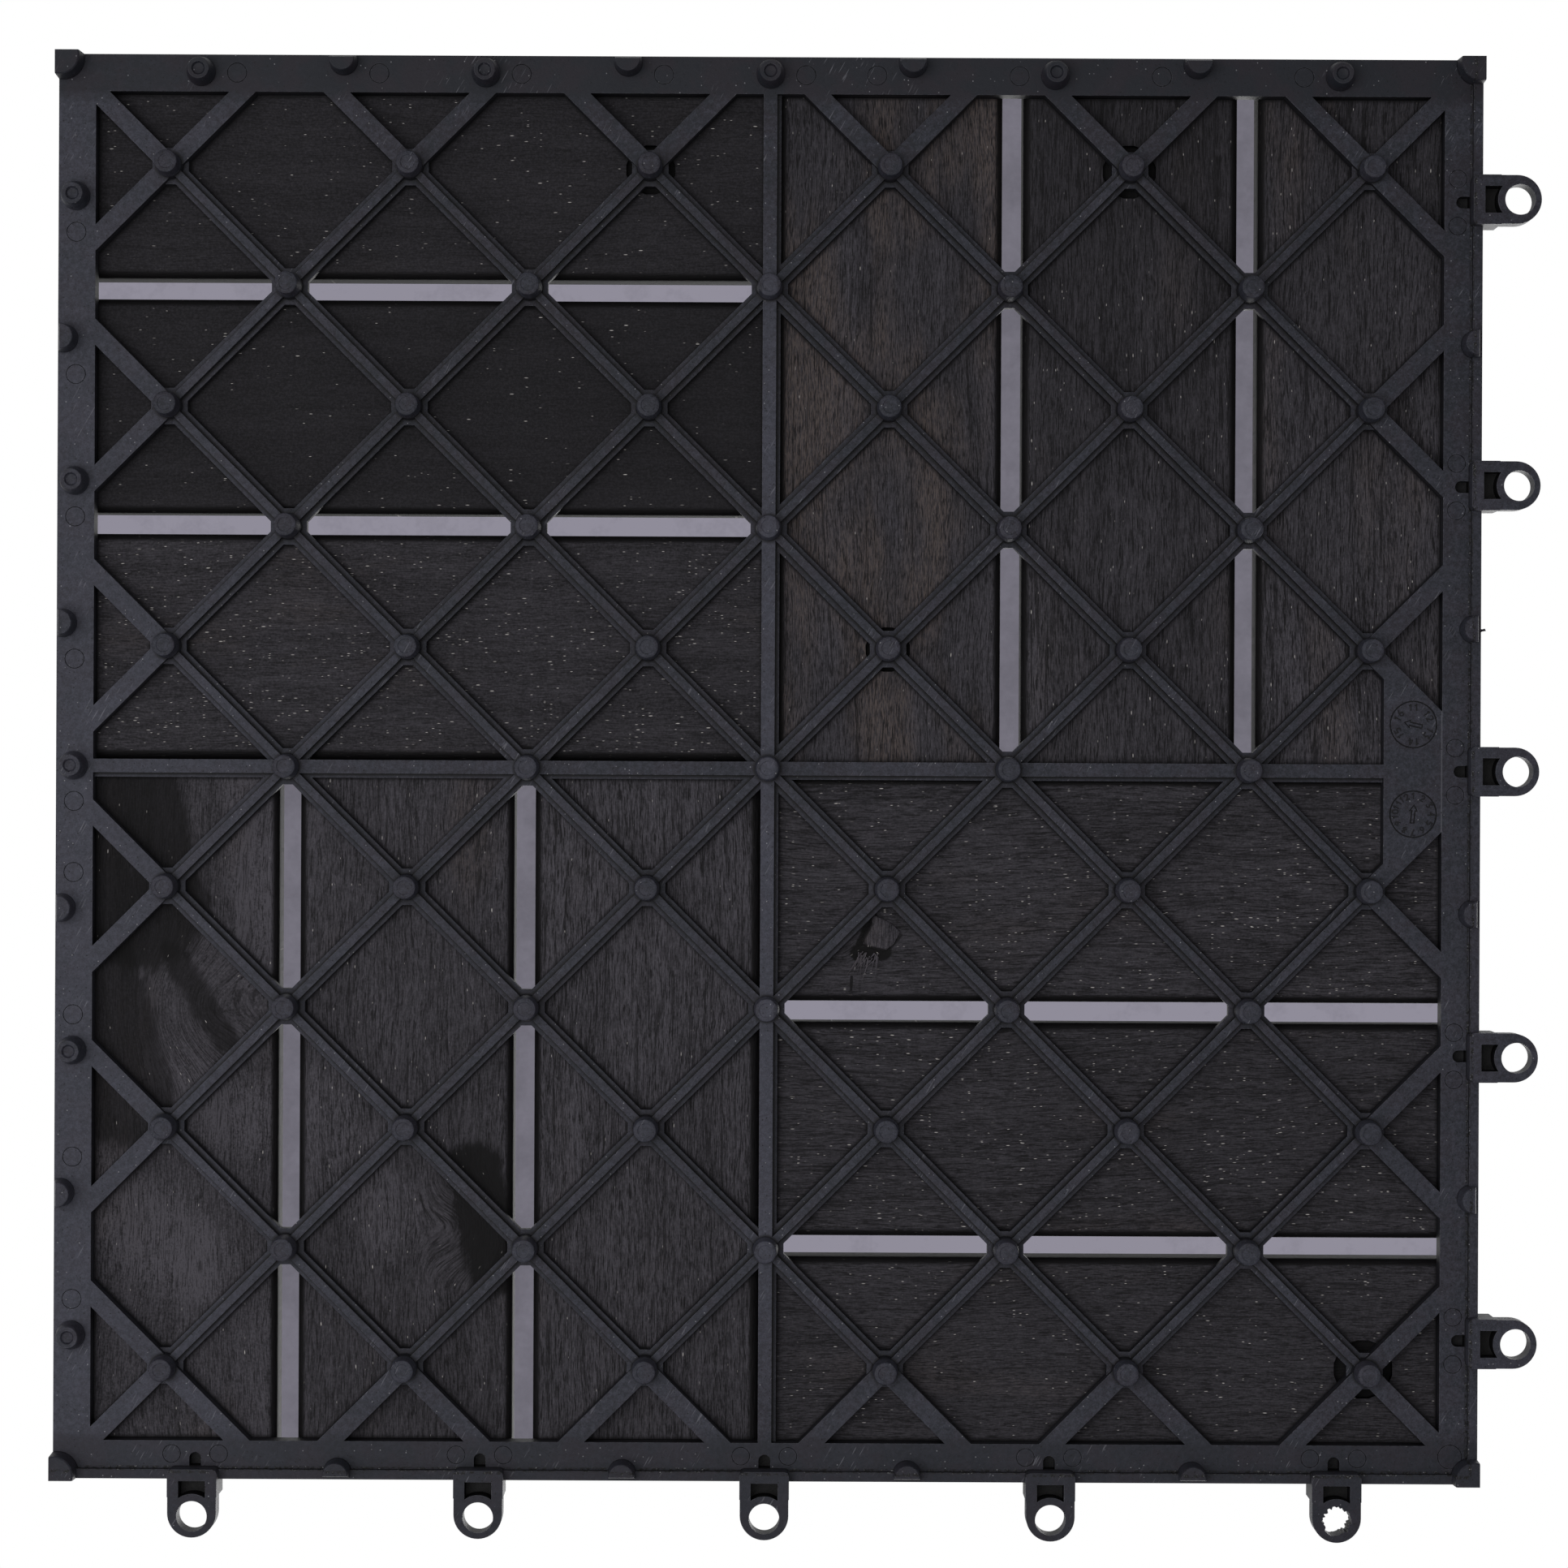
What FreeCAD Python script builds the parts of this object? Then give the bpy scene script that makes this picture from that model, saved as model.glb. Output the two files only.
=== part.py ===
import FreeCAD, Part
import math
import os

# Interlocking deck tile: twelve hardwood slats on one moulded snap-together base.
# It is modelled as it lies in use, with the walking face up. All sizes are in millimetres.
# The origin is the middle of the tile on the ground. Loops stand out on +X and +Y,
# and the pegs that drop into a neighbour's loops stand down from the -X and -Y sides.

# Base moulding, seen from above
rim_side = 300.0
rim_width = 7.8
corner_node_inset = 23.25
node_rows = 6
band_width = 3.9
ridge_width = 1.8
centre_rib_width = 2.85
centre_ledge = 0.9
node_boss_width = 7.66

# Base moulding, heights
ground_clearance = 6.5
ridge_depth = 2.5
flange_thickness = 3.0

# Feet under the lattice and the rim
foot_tip_radius = 2.35
foot_root_radius = 2.85
rim_foot_tip_radius = 2.85
rim_foot_root_radius = 3.2
rim_foot_draft = 0.8
corner_foot_tip_radius = 4.05
corner_foot_root_radius = 4.4
corner_foot_inset = 1.05

# Connectors: pegs and loops share their spacing, so that any two tiles meet
connectors_per_side = 5
connector_lift = 0.3
peg_inset = 3.7
peg_tip_radius = 2.35
peg_root_radius = 3.0
peg_neck_radius = 2.9
peg_land = 1.5
peg_dish_radius = 1.3
peg_dish_floor_radius = 0.9
peg_dish_depth = 0.8
loop_bore_clearance = 0.2
joint_gap = 3.6
loop_wall = 1.9
loop_nose_shift = 0.65
loop_top_clearance = 0.2
block_inset = 2.5
block_joint_clearance = 0.3
block_side_margin = 0.1
block_corner_bevel = 0.9
pocket_length = 5.7
pocket_inner_wall = 2.4
pocket_bore_wall = 1.5
pocket_floor = 0.5
relief_width = 2.5
relief_reach = 2.8

# Downstanding lip along the two loop sides
lip_width = 2.1
lip_depth = 2.0

# Filled web at the +X side that carries two round date dials
dial_plate_width = 12.3
dial_radius = 4.95
dial_spacing = 19.0
dial_depth = 0.3

# Hardwood slats
slat_thickness = 12.0
slats_per_quarter = 3
slat_gap = 4.4
slat_edge_inset = 1.2
first_slat_edge = 3.8
inner_slat_extra = 2.6
slat_end_inset = 1.0
slat_top_round = 2.0
slat_under_round = 2.0

# Cross-shaped spigots on the base, pressed into blind holes in the slats
spigot_span = 6.4
spigot_blade = 1.7
spigot_height = 7.5
spigot_clearance = 0.05
hole_end_room = 1.0
torn_mouth_depth = 2.5

# Flat sides that stand in for a round form where it repeats
small_sides = 8
large_sides = 16

# Places worked out from the sizes above
rim_half = rim_side / 2
rim_inner = rim_half - rim_width
band_under = ground_clearance
flange_under = band_under + ridge_depth
base_top = flange_under + flange_thickness
node_step = (rim_half - corner_node_inset) / (node_rows - 1)
connector_pitch = rim_side / connectors_per_side
loop_bore_radius = peg_root_radius + loop_bore_clearance
loop_outer_radius = loop_bore_radius + loop_wall
loop_reach = joint_gap + peg_inset
loop_top = ground_clearance - loop_top_clearance
peg_line = rim_half - peg_inset
hole_top = base_top + spigot_height + hole_end_room

# A slat's hole is larger at its mouth where the drill tore it: node column, node row, radius
torn_mouths = [(-1, -5, 5.2), (3, -5, 5.6), (5, 5, 6.2), (1, -1, 4.7)]


def box(x0, y0, z0, x1, y1, z1):
    """A block between two corners."""
    return Part.makeBox(x1 - x0, y1 - y0, z1 - z0, FreeCAD.Vector(x0, y0, z0))


def rod(x, y, z0, z1, radius):
    """An upright cylinder."""
    return Part.makeCylinder(radius, z1 - z0, FreeCAD.Vector(x, y, z0))


def taper(x, y, z0, z1, radius0, radius1, sides):
    """An upright tapered stem with flat sides."""
    low = flat_polygon(x, y, radius0, sides, 0)
    high = flat_polygon(x, y, radius1, sides, 0)
    return lofted(low, high, z0, z1)


def lofted(low, high, z0, z1):
    """A solid between the outlines of two flat faces, set at two heights."""
    under = low.OuterWire
    over = high.OuterWire
    under.translate(FreeCAD.Vector(0, 0, z0))
    over.translate(FreeCAD.Vector(0, 0, z1))
    return Part.makeLoft([under, over], True, True)


def flat_bar(ax, ay, bx, by, width):
    """A flat strip between two points, as a face on the plane z = 0."""
    length = math.hypot(bx - ax, by - ay)
    sx = (ay - by) / length * width / 2
    sy = (bx - ax) / length * width / 2
    corners = [(ax + sx, ay + sy), (bx + sx, by + sy), (bx - sx, by - sy), (ax - sx, ay - sy)]
    points = [FreeCAD.Vector(x, y, 0) for x, y in corners]
    return Part.Face(Part.makePolygon(points + points[:1]))


def flat_polygon(x, y, radius, sides, first=0.5):
    """A regular polygon on z = 0 whose flats lie at the radius. Its flats face the X and Y axes
    when the first corner is half a step round, and its corners do when that is 0."""
    points = []
    reach = radius / math.cos(math.pi / sides)
    for k in range(sides):
        angle = 2 * math.pi * (k + first) / sides
        points.append(FreeCAD.Vector(x + reach * math.cos(angle), y + reach * math.sin(angle), 0))
    return Part.Face(Part.makePolygon(points + points[:1]))


def flat_square(half):
    """A square face about the middle of the tile."""
    return flat_bar(-half, 0, half, 0, 2 * half)


def joined(shapes):
    """All the solids as one, without the seams between them."""
    return shapes[0].fuse(shapes[1:]).removeSplitter()


def joined_flat(faces):
    """All the faces on one plane as a single face with holes, found from its border edges."""
    uses = {}
    for patch in faces[0].fuse(faces[1:]).Faces:
        for edge in patch.Edges:
            middle = edge.CenterOfMass
            uses.setdefault((round(middle.x, 4), round(middle.y, 4)), []).append(edge)
    border = [edges[0] for edges in uses.values() if len(edges) == 1]
    wires = [Part.Wire(edges) for edges in Part.sortEdges(border)]
    return Part.makeFace(wires, "Part::FaceMakerBullseye").removeSplitter().Faces[0]


def raised(face, z0, z1):
    """A face on z = 0 pulled up into a solid between two heights."""
    low = face.copy()
    low.translate(FreeCAD.Vector(0, 0, z0))
    return low.extrude(FreeCAD.Vector(0, 0, z1 - z0))


def turned(shape, degrees):
    """A copy turned about the upright axis through the middle of the tile."""
    copy = shape.copy()
    copy.rotate(FreeCAD.Vector(0, 0, 0), FreeCAD.Vector(0, 0, 1), degrees)
    return copy


def mirrored_to_y(shape):
    """A copy with X and Y exchanged, which turns a +X side into the +Y side."""
    return shape.mirror(FreeCAD.Vector(0, 0, 0), FreeCAD.Vector(1, -1, 0))


def node_places():
    """Every lattice node as its column and row, counted in half pitches."""
    reach = node_rows - 1
    for row in range(-reach, reach + 1):
        for column in range(-reach, reach + 1):
            if (column + row) % 2 == 0:
                yield column, row


def diagonal_lines():
    """Each lattice diagonal as two ends on the rim and the two outermost nodes on it."""
    reach = node_rows - 1
    for offset in range(-2 * reach, 2 * reach + 1, 2):
        span = 2 * reach - abs(offset)
        for way in (1, -1):
            # The nodes on this line run from -span / 2 to span / 2 about its middle
            mid_x = offset / 2 * node_step
            mid_y = -way * offset / 2 * node_step
            half = span / 2 * node_step
            to_rim = rim_half - rim_width / 2 - abs(mid_x)
            inner = [(mid_x + s * half, mid_y + s * way * half) for s in (-1, 1)]
            outer = [(mid_x + s * to_rim, mid_y + s * way * to_rim) for s in (-1, 1)]
            yield outer, inner


def rim_face():
    """The square rim seen from above."""
    return flat_square(rim_half).cut(flat_square(rim_inner))


def centre_ribs(ledge):
    """The two straight ribs that cross in the middle, widened by a ledge on the +X or +Y side."""
    reach = rim_half - rim_width / 2
    upright = flat_bar(ledge / 2, -reach, ledge / 2, reach, centre_rib_width + ledge)
    level = flat_bar(-reach, ledge / 2, reach, ledge / 2, centre_rib_width + ledge)
    return [upright, level]


def dial_plate_face():
    """The filled web between two diagonals and the rim."""
    reach = node_rows - 1
    left = rim_inner - dial_plate_width
    right = rim_half - rim_width / 2
    tip_y = node_step
    tip_x = reach * node_step
    low = tip_y - (left - tip_x)
    high = tip_y - (right - tip_x)
    corners = [(left, -low), (right, -high), (right, high), (left, low)]
    points = [FreeCAD.Vector(x, y, 0) for x, y in corners]
    return Part.Face(Part.makePolygon(points + points[:1]))


def lattice():
    """Rim, ribs and node bosses: a flange layer under the slats and a ridge layer below it."""
    flange = [rim_face(), dial_plate_face()] + centre_ribs(centre_ledge)
    ridge = [rim_face().cut(loop_reliefs()), dial_plate_face().cut(dial_faces())] + centre_ribs(0)
    for outer, inner in diagonal_lines():
        flange.append(flat_bar(*outer[0], *outer[1], band_width))
        if inner[0] != inner[1]:
            ridge.append(flat_bar(*inner[0], *inner[1], ridge_width))
        for end, node in zip(outer, inner):
            ridge.append(flat_bar(*node, *end, band_width))
    for column, row in node_places():
        x = column * node_step
        y = row * node_step
        flange.append(flat_polygon(x, y, node_boss_width / 2, small_sides))
        ridge.append(flat_polygon(x, y, foot_root_radius, small_sides, 0))
    upper = raised(joined_flat(flange), flange_under, base_top)
    lower = raised(joined_flat(ridge), band_under, flange_under)
    return [upper, lower]


def lattice_feet():
    """A tapered round foot under every node."""
    feet = []
    for column, row in node_places():
        x = column * node_step
        y = row * node_step
        feet.append(taper(x, y, 0, band_under, foot_tip_radius, foot_root_radius, small_sides))
    return feet


def rim_feet():
    """Half-round feet midway between the connectors, and the feet at the corners."""
    feet = []
    outline = lofted(flat_square(rim_half - rim_foot_draft), flat_square(rim_half), 0, band_under)
    along = connector_pitch / 2
    for k in range(-(connectors_per_side // 2), connectors_per_side // 2):
        foot = taper(rim_half, along + k * connector_pitch, 0, band_under,
                     rim_foot_tip_radius, rim_foot_root_radius, small_sides).common(outline)
        for quarter in (0, 90, 180, 270):
            feet.append(turned(foot, quarter))
    corner = rim_half - corner_foot_inset
    block = box(-rim_half, -rim_half, 0, rim_half, rim_half, band_under)
    foot = taper(corner, corner, 0, band_under,
                 corner_foot_tip_radius, corner_foot_root_radius, large_sides).common(block)
    for quarter in (0, 90, 180, 270):
        feet.append(turned(foot, quarter))
    return feet


def connector_offsets():
    """The places of the connectors along a side."""
    return [(k - (connectors_per_side - 1) / 2) * connector_pitch for k in range(connectors_per_side)]


def peg(y):
    """A peg under the -X side: a round land at its root and a tapered end with a dish."""
    land_under = band_under - peg_land
    land = rod(-peg_line, y, land_under, band_under, peg_root_radius)
    end = taper(-peg_line, y, connector_lift, land_under, peg_tip_radius, peg_neck_radius, large_sides)
    dish_top = connector_lift + peg_dish_depth
    dish = taper(-peg_line, y, connector_lift, dish_top, peg_dish_radius, peg_dish_floor_radius, small_sides)
    return land.fuse(end).cut(dish)


def loop(y):
    """A loop on the +X side: a tall block against the rim and a low ring that takes the peg."""
    block_x0 = rim_half - block_inset
    block_x1 = rim_half + joint_gap - block_joint_clearance
    half = loop_outer_radius + block_side_margin
    block = box(block_x0, y - half, connector_lift, block_x1, y + half, base_top)
    corners = [e for e in block.Edges if is_upright_at(e, block_x0)]
    block = block.makeChamfer(block_corner_bevel, corners)
    nose_x = rim_half + loop_reach - loop_nose_shift
    strip = box(block_x1 - block_inset, y - loop_outer_radius, connector_lift,
                nose_x, y + loop_outer_radius, loop_top)
    nose = raised(flat_polygon(nose_x, y, loop_outer_radius, large_sides), connector_lift, loop_top)
    body = block.fuse([strip, nose]).removeSplitter()
    bore_x = rim_half + loop_reach
    bore = rod(bore_x, y, connector_lift, loop_top, loop_bore_radius)
    pocket_x0 = block_x0 + pocket_inner_wall
    pocket_top = loop_top - pocket_floor
    pocket = box(pocket_x0, y - pocket_length / 2, connector_lift,
                 bore_x - loop_bore_radius, y + pocket_length / 2, pocket_top)
    guard = flat_polygon(bore_x, y, loop_bore_radius + pocket_bore_wall, large_sides)
    guard = raised(guard, connector_lift, pocket_top)
    return body.cut([bore, pocket.cut(guard)]).removeSplitter()


def is_upright_at(edge, x):
    """True for an edge that stands upright on the plane at x."""
    a = edge.Vertexes[0].Point
    b = edge.Vertexes[1].Point
    return abs(a.x - x) < 1e-6 and abs(b.x - x) < 1e-6 and abs(a.z - b.z) > 1e-6


def loop_reliefs():
    """The rounded reliefs in the rim behind the loops, as faces on z = 0."""
    x1 = rim_half - block_inset
    x0 = x1 - relief_reach + relief_width / 2
    faces = []
    for y in connector_offsets():
        slot = flat_bar(x0, y, x1, y, relief_width)
        end = flat_polygon(x0, y, relief_width / 2, small_sides)
        faces += [slot, end, mirrored_to_y(slot), mirrored_to_y(end)]
    return faces


def lips():
    """The lip that stands down along the two loop sides."""
    inner = rim_half - lip_width
    top = band_under
    along_x = box(inner, -rim_half, top - lip_depth, rim_half, rim_half, top)
    along_y = box(-rim_half, inner, top - lip_depth, rim_half, rim_half, top)
    return [along_x, along_y]


def dial_faces():
    """The outline of each date dial on z = 0."""
    x = rim_inner - dial_plate_width / 2
    return [flat_polygon(x, side * dial_spacing / 2, dial_radius, large_sides) for side in (-1, 1)]


def slat_edges():
    """The two long edges of each slat of a quarter, from the middle of the tile outwards."""
    far = rim_half - slat_edge_inset
    width = (far - first_slat_edge - (slats_per_quarter - 1) * slat_gap) / slats_per_quarter
    starts = [first_slat_edge + k * (width + slat_gap) for k in range(slats_per_quarter)]
    edges = [(start, start + width) for start in starts]
    edges[0] = (starts[0] - inner_slat_extra, starts[0] + width)
    return edges


def held_nodes():
    """The first and last node on the row nearest the middle of every slat, as column and row."""
    last = node_rows - 1
    for quarter in range(4):
        for y0, y1 in slat_edges():
            row = round((y0 + y1) / 2 / node_step)
            for column in (2 - row % 2, last - (last - row) % 2):
                x, y = column, row
                for turn in range(quarter):
                    x, y = -y, x
                yield x, y


def spigots():
    """Cross-shaped spigots that stand up from the base under the slat ends."""
    plugs = []
    for column, row in held_nodes():
        x = column * node_step
        y = row * node_step
        half = spigot_span / 2
        blades = [flat_bar(x - half, y, x + half, y, spigot_blade)]
        blades.append(flat_bar(x, y - half, x, y + half, spigot_blade))
        plugs.append(raised(joined_flat(blades), base_top, base_top + spigot_height))
    return plugs


def base_grid():
    """The whole base, moulded in one piece."""
    pieces = lattice() + lattice_feet() + rim_feet() + lips() + spigots()
    for face in dial_faces():
        pieces.append(raised(face, band_under + dial_depth, flange_under))
    for y in connector_offsets():
        pieces += [peg(y), mirrored_to_y(peg(y)), loop(y), mirrored_to_y(loop(y))]
    return joined(pieces)


def slat_profile(y0, y1, x):
    """The slat's cross section at x, with rounded edges above and below."""
    z0 = base_top
    z1 = base_top + slat_thickness
    low = slat_under_round
    high = slat_top_round
    low_turn = low * (1 - math.sqrt(0.5))
    high_turn = high * (1 - math.sqrt(0.5))

    def point(y, z):
        return FreeCAD.Vector(x, y, z)

    edges = [
        Part.LineSegment(point(y0 + low, z0), point(y1 - low, z0)),
        Part.Arc(point(y1 - low, z0), point(y1 - low_turn, z0 + low_turn), point(y1, z0 + low)),
        Part.LineSegment(point(y1, z0 + low), point(y1, z1 - high)),
        Part.Arc(point(y1, z1 - high), point(y1 - high_turn, z1 - high_turn), point(y1 - high, z1)),
        Part.LineSegment(point(y1 - high, z1), point(y0 + high, z1)),
        Part.Arc(point(y0 + high, z1), point(y0 + high_turn, z1 - high_turn), point(y0, z1 - high)),
        Part.LineSegment(point(y0, z1 - high), point(y0, z0 + low)),
        Part.Arc(point(y0, z0 + low), point(y0 + low_turn, z0 + low_turn), point(y0 + low, z0)),
    ]
    return Part.Face(Part.Wire([edge.toShape() for edge in edges]))


def slat_holes():
    """Every blind hole that a spigot is pressed into, with the torn mouths."""
    holes = []
    for column, row in held_nodes():
        x = column * node_step
        y = row * node_step
        hole = flat_polygon(x, y, spigot_span / 2 + spigot_clearance, small_sides)
        holes.append(raised(hole, base_top, hole_top))
    for column, row, radius in torn_mouths:
        x = column * node_step
        y = row * node_step
        mouth = flat_polygon(x, y, radius, large_sides)
        holes.append(raised(mouth, base_top, base_top + torn_mouth_depth))
    return holes


def slats():
    """Three slats in each quarter, laid crosswise to those of the next quarter."""
    length = rim_half - slat_edge_inset - slat_end_inset
    holes = slat_holes()
    pieces = {}
    for quarter, place in enumerate(("a", "b", "c", "d")):
        for k, (y0, y1) in enumerate(slat_edges()):
            blank = slat_profile(y0, y1, slat_end_inset).extrude(FreeCAD.Vector(length, 0, 0))
            blank = turned(blank, 90 * quarter)
            reach = blank.BoundBox
            near = [h for h in holes if reach.isInside(h.BoundBox.Center)]
            pieces["slat_%s%d" % (place, k + 1)] = blank.cut(near)
    return pieces


def main():
    os.makedirs("parts", exist_ok=True)
    base_grid().exportStep("parts/base_grid.step")
    for name, shape in slats().items():
        shape.exportStep("parts/%s.step" % name)


main()
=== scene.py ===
"""Dressed model of the interlocking deck tile: fine base moulding, stained slats, stage and camera."""
import math
import random

import bmesh
import bpy
from bpy.props import FloatProperty, FloatVectorProperty, IntProperty, PointerProperty
from mathutils import Matrix, Vector
from mathutils.geometry import delaunay_2d_cdt


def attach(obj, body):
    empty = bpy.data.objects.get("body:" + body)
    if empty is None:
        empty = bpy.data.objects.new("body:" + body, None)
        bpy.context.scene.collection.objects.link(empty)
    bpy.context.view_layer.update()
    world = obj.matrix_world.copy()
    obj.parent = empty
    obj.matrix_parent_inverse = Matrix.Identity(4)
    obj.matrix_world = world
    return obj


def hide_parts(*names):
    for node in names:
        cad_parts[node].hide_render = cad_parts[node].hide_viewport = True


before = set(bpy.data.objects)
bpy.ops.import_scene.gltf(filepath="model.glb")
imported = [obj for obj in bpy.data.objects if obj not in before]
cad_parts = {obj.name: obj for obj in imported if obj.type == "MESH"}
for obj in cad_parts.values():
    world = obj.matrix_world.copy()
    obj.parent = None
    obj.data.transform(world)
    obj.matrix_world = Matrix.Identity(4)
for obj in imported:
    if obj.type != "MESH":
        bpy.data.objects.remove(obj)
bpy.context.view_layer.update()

bl_info = {
    "name": "Deck tile",
    "version": (1, 0, 0),
    "blender": (4, 5, 0),
    "location": "View3D > Sidebar > Deck tile",
    "description": "Builds the moulded base, the stained slats and the stage of an interlocking deck tile",
    "category": "Object",
}

MM = 0.001
ROOT = "root"
QUARTERS = "abcd"


# Sizes and colours that a user would change

def length(name, description, default_mm):
    """A size property, given in millimetres and kept in metres."""
    return FloatProperty(name=name, description=description, default=default_mm * MM, min=0.0,
                         unit="LENGTH", subtype="DISTANCE", precision=5)


def colour(name, description, default):
    """A colour property in linear values."""
    return FloatVectorProperty(name=name, description=description, default=default, size=3,
                               min=0.0, max=1.0, subtype="COLOR")


class TileBaseSizes(bpy.types.PropertyGroup):
    """Sizes of the moulded base."""
    rim_side: length("Rim side", "Outer side of the square rim", 300.0)
    rim_width: length("Rim width", "Width of the flat rim", 7.8)
    corner_node_inset: length("Corner node inset", "From the rim's edge to the outermost feet", 23.25)
    band_width: length("Band width", "Width of each diagonal band under the slats", 3.9)
    ridge_width: length("Ridge width", "Width of the ridge that stiffens each band", 1.65)
    centre_rib_width: length("Centre rib width", "Width of the two crossing ribs", 2.85)
    centre_ledge: length("Centre ledge", "Ledge along one side of the crossing ribs", 0.9)
    boss_width: length("Boss width", "Across the flats of the boss round each foot", 7.66)
    band_under: length("Band height", "From the ground to the rim's underside", 6.5)
    flange_under: length("Flange height", "From the ground to the flange's underside", 9.0)
    base_top: length("Base top", "From the ground to the slats", 12.0)
    lip_width: length("Lip width", "Width of the lip along the two loop sides", 2.0)
    lip_under: length("Lip height", "From the ground to the lip's underside", 4.5)
    node_rows: IntProperty(name="Node rows", description="Lattice nodes along each side", default=6, min=2)


class TileFootSizes(bpy.types.PropertyGroup):
    """Sizes of the round feet and pegs."""
    tip_radius: length("Tip radius", "Radius of a foot at the ground", 2.38)
    root_radius: length("Root radius", "Radius of a foot at the flange", 2.86)
    edge: length("Edge", "Rounding of a foot's lower edge", 0.22)
    ring_radius: length("Ring radius", "Radius of the faint ring in a foot's end", 1.55)
    ring_depth: length("Ring depth", "Depth of the dish inside the ring", 0.12)
    peg_tip_radius: length("Peg tip radius", "Radius of a peg at its end", 2.35)
    peg_root_radius: length("Peg root radius", "Radius of a peg at the rim", 3.0)
    peg_lift: length("Peg lift", "From the ground to a peg's end", 0.3)
    peg_dish_radius: length("Peg dish radius", "Radius of the dish in a peg's end", 1.35)
    peg_dish_depth: length("Peg dish depth", "Depth of the dish in a peg's end", 0.8)
    peg_inset: length("Peg inset", "From the rim's edge to the pegs' middle line", 3.7)


class TileLoopSizes(bpy.types.PropertyGroup):
    """Sizes of the loops."""
    bore_radius: length("Bore radius", "Radius of a loop's hole", 3.2)
    outer_radius: length("Outer radius", "Radius of a loop's nose", 5.1)
    reach: length("Reach", "From the rim's edge to the middle of the hole", 7.3)
    nose_shift: length("Nose shift", "The nose's middle lies this far inside the hole's", 0.65)
    block_inset: length("Block inset", "How far the block runs into the rim", 2.5)
    block_reach: length("Block reach", "How far the block stands out of the rim", 3.3)
    lift: length("Lift", "From the ground to a loop's underside", 0.3)
    ring_top: length("Ring top", "From the ground to a loop's upper face", 6.3)
    pitch: length("Pitch", "From one loop to the next", 60.0)
    count: IntProperty(name="Count", description="Loops along each side", default=5, min=1)


class TileFinish(bpy.types.PropertyGroup):
    """Colours of the plastic, the wood and the backdrop."""
    plastic: colour("Plastic", "Body colour of the moulding", (0.0095, 0.0104, 0.0142))
    plastic_warm: colour("Plastic tint", "Warmer tint of the moulding", (0.0120, 0.0108, 0.0148))
    # This paler colour also paints the sheen on the rim on the -X side.
    plastic_pale_and_sheen: colour("Plastic bloom", "Paler bloom of the moulding", (0.062, 0.063, 0.084))
    # This colour paints the highlights along edges as well as real scuffs, scratches and the moulding seam.
    rubbed_and_highlight: colour("Rubbed plastic", "Rubbed edges and scuffs", (0.17, 0.17, 0.195))
    stain: colour("Stain", "Charcoal stain of the wood", (0.0056, 0.0053, 0.0062))
    grain: colour("Grain", "Paler fibres in the stain", (0.060, 0.056, 0.066))
    heart: colour("Heartwood", "Brown wood that shows through the stain", (0.082, 0.064, 0.058))
    pore: colour("Pore", "Pale mineral in the pores", (0.55, 0.52, 0.50))
    black: colour("Black", "Deep shade in cracks and pockets", (0.0022, 0.0020, 0.0022))
    # The paper colour is the painted shade on the backdrop seen through the slots.
    paper: colour("Paper", "Backdrop behind the drain slots", (0.275, 0.262, 0.318))
    paper_shade: FloatProperty(name="Paper shade", description="Level of the backdrop in the shadier slots",
                               default=0.58, min=0.0, max=1.0)


class TileLight(bpy.types.PropertyGroup):
    """Levels of the studio light."""
    sky: FloatProperty(name="Sky", description="Level of the even light round the tile", default=0.16, min=0.0)
    front: FloatProperty(name="Front", description="Power of the soft lamp on the camera's side",
                         default=13.0, min=0.0, unit="POWER")
    side: FloatProperty(name="Side", description="Power of the low lamp beside the tile", default=1.6,
                        min=0.0, unit="POWER")
    top: FloatProperty(name="Top", description="Power of the soft lamp over the walking face", default=7.0,
                       min=0.0, unit="POWER")


# Node trees

class Value:
    """A node's output that takes part in sums. Each operator adds a Math node."""

    def __init__(self, tree, socket):
        self.tree = tree
        self.socket = socket

    def math(self, operation, *others):
        sockets = {index: item for index, item in enumerate((self,) + others)}
        return self.tree.node("ShaderNodeMath", {"operation": operation}, sockets).value()

    def __add__(self, other):
        return self.math("ADD", other)

    __radd__ = __add__

    def __mul__(self, other):
        return self.math("MULTIPLY", other)

    __rmul__ = __mul__

    def __sub__(self, other):
        return self.math("SUBTRACT", other)

    def __rsub__(self, other):
        return self.tree.node("ShaderNodeMath", {"operation": "SUBTRACT"}, {0: other, 1: self}).value()

    def __truediv__(self, other):
        return self.math("DIVIDE", other)

    def power(self, other):
        return self.math("POWER", other)

    def least(self, other):
        return self.math("MINIMUM", other)

    def most(self, other):
        return self.math("MAXIMUM", other)

    def size(self):
        return self.math("ABSOLUTE")

    def step(self, low, high):
        """0 below low and 1 above high, with a smooth ramp between them."""
        settings = {"interpolation_type": "SMOOTHSTEP"}
        return self.tree.node("ShaderNodeMapRange", settings, {0: self, 1: low, 2: high}).value()


class Made:
    """A node that was added to a tree."""

    def __init__(self, tree, node):
        self.tree = tree
        self.node = node

    def value(self, output=0):
        return Value(self.tree, self.node.outputs[output])

    def out(self, output=0):
        return self.node.outputs[output]


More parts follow.
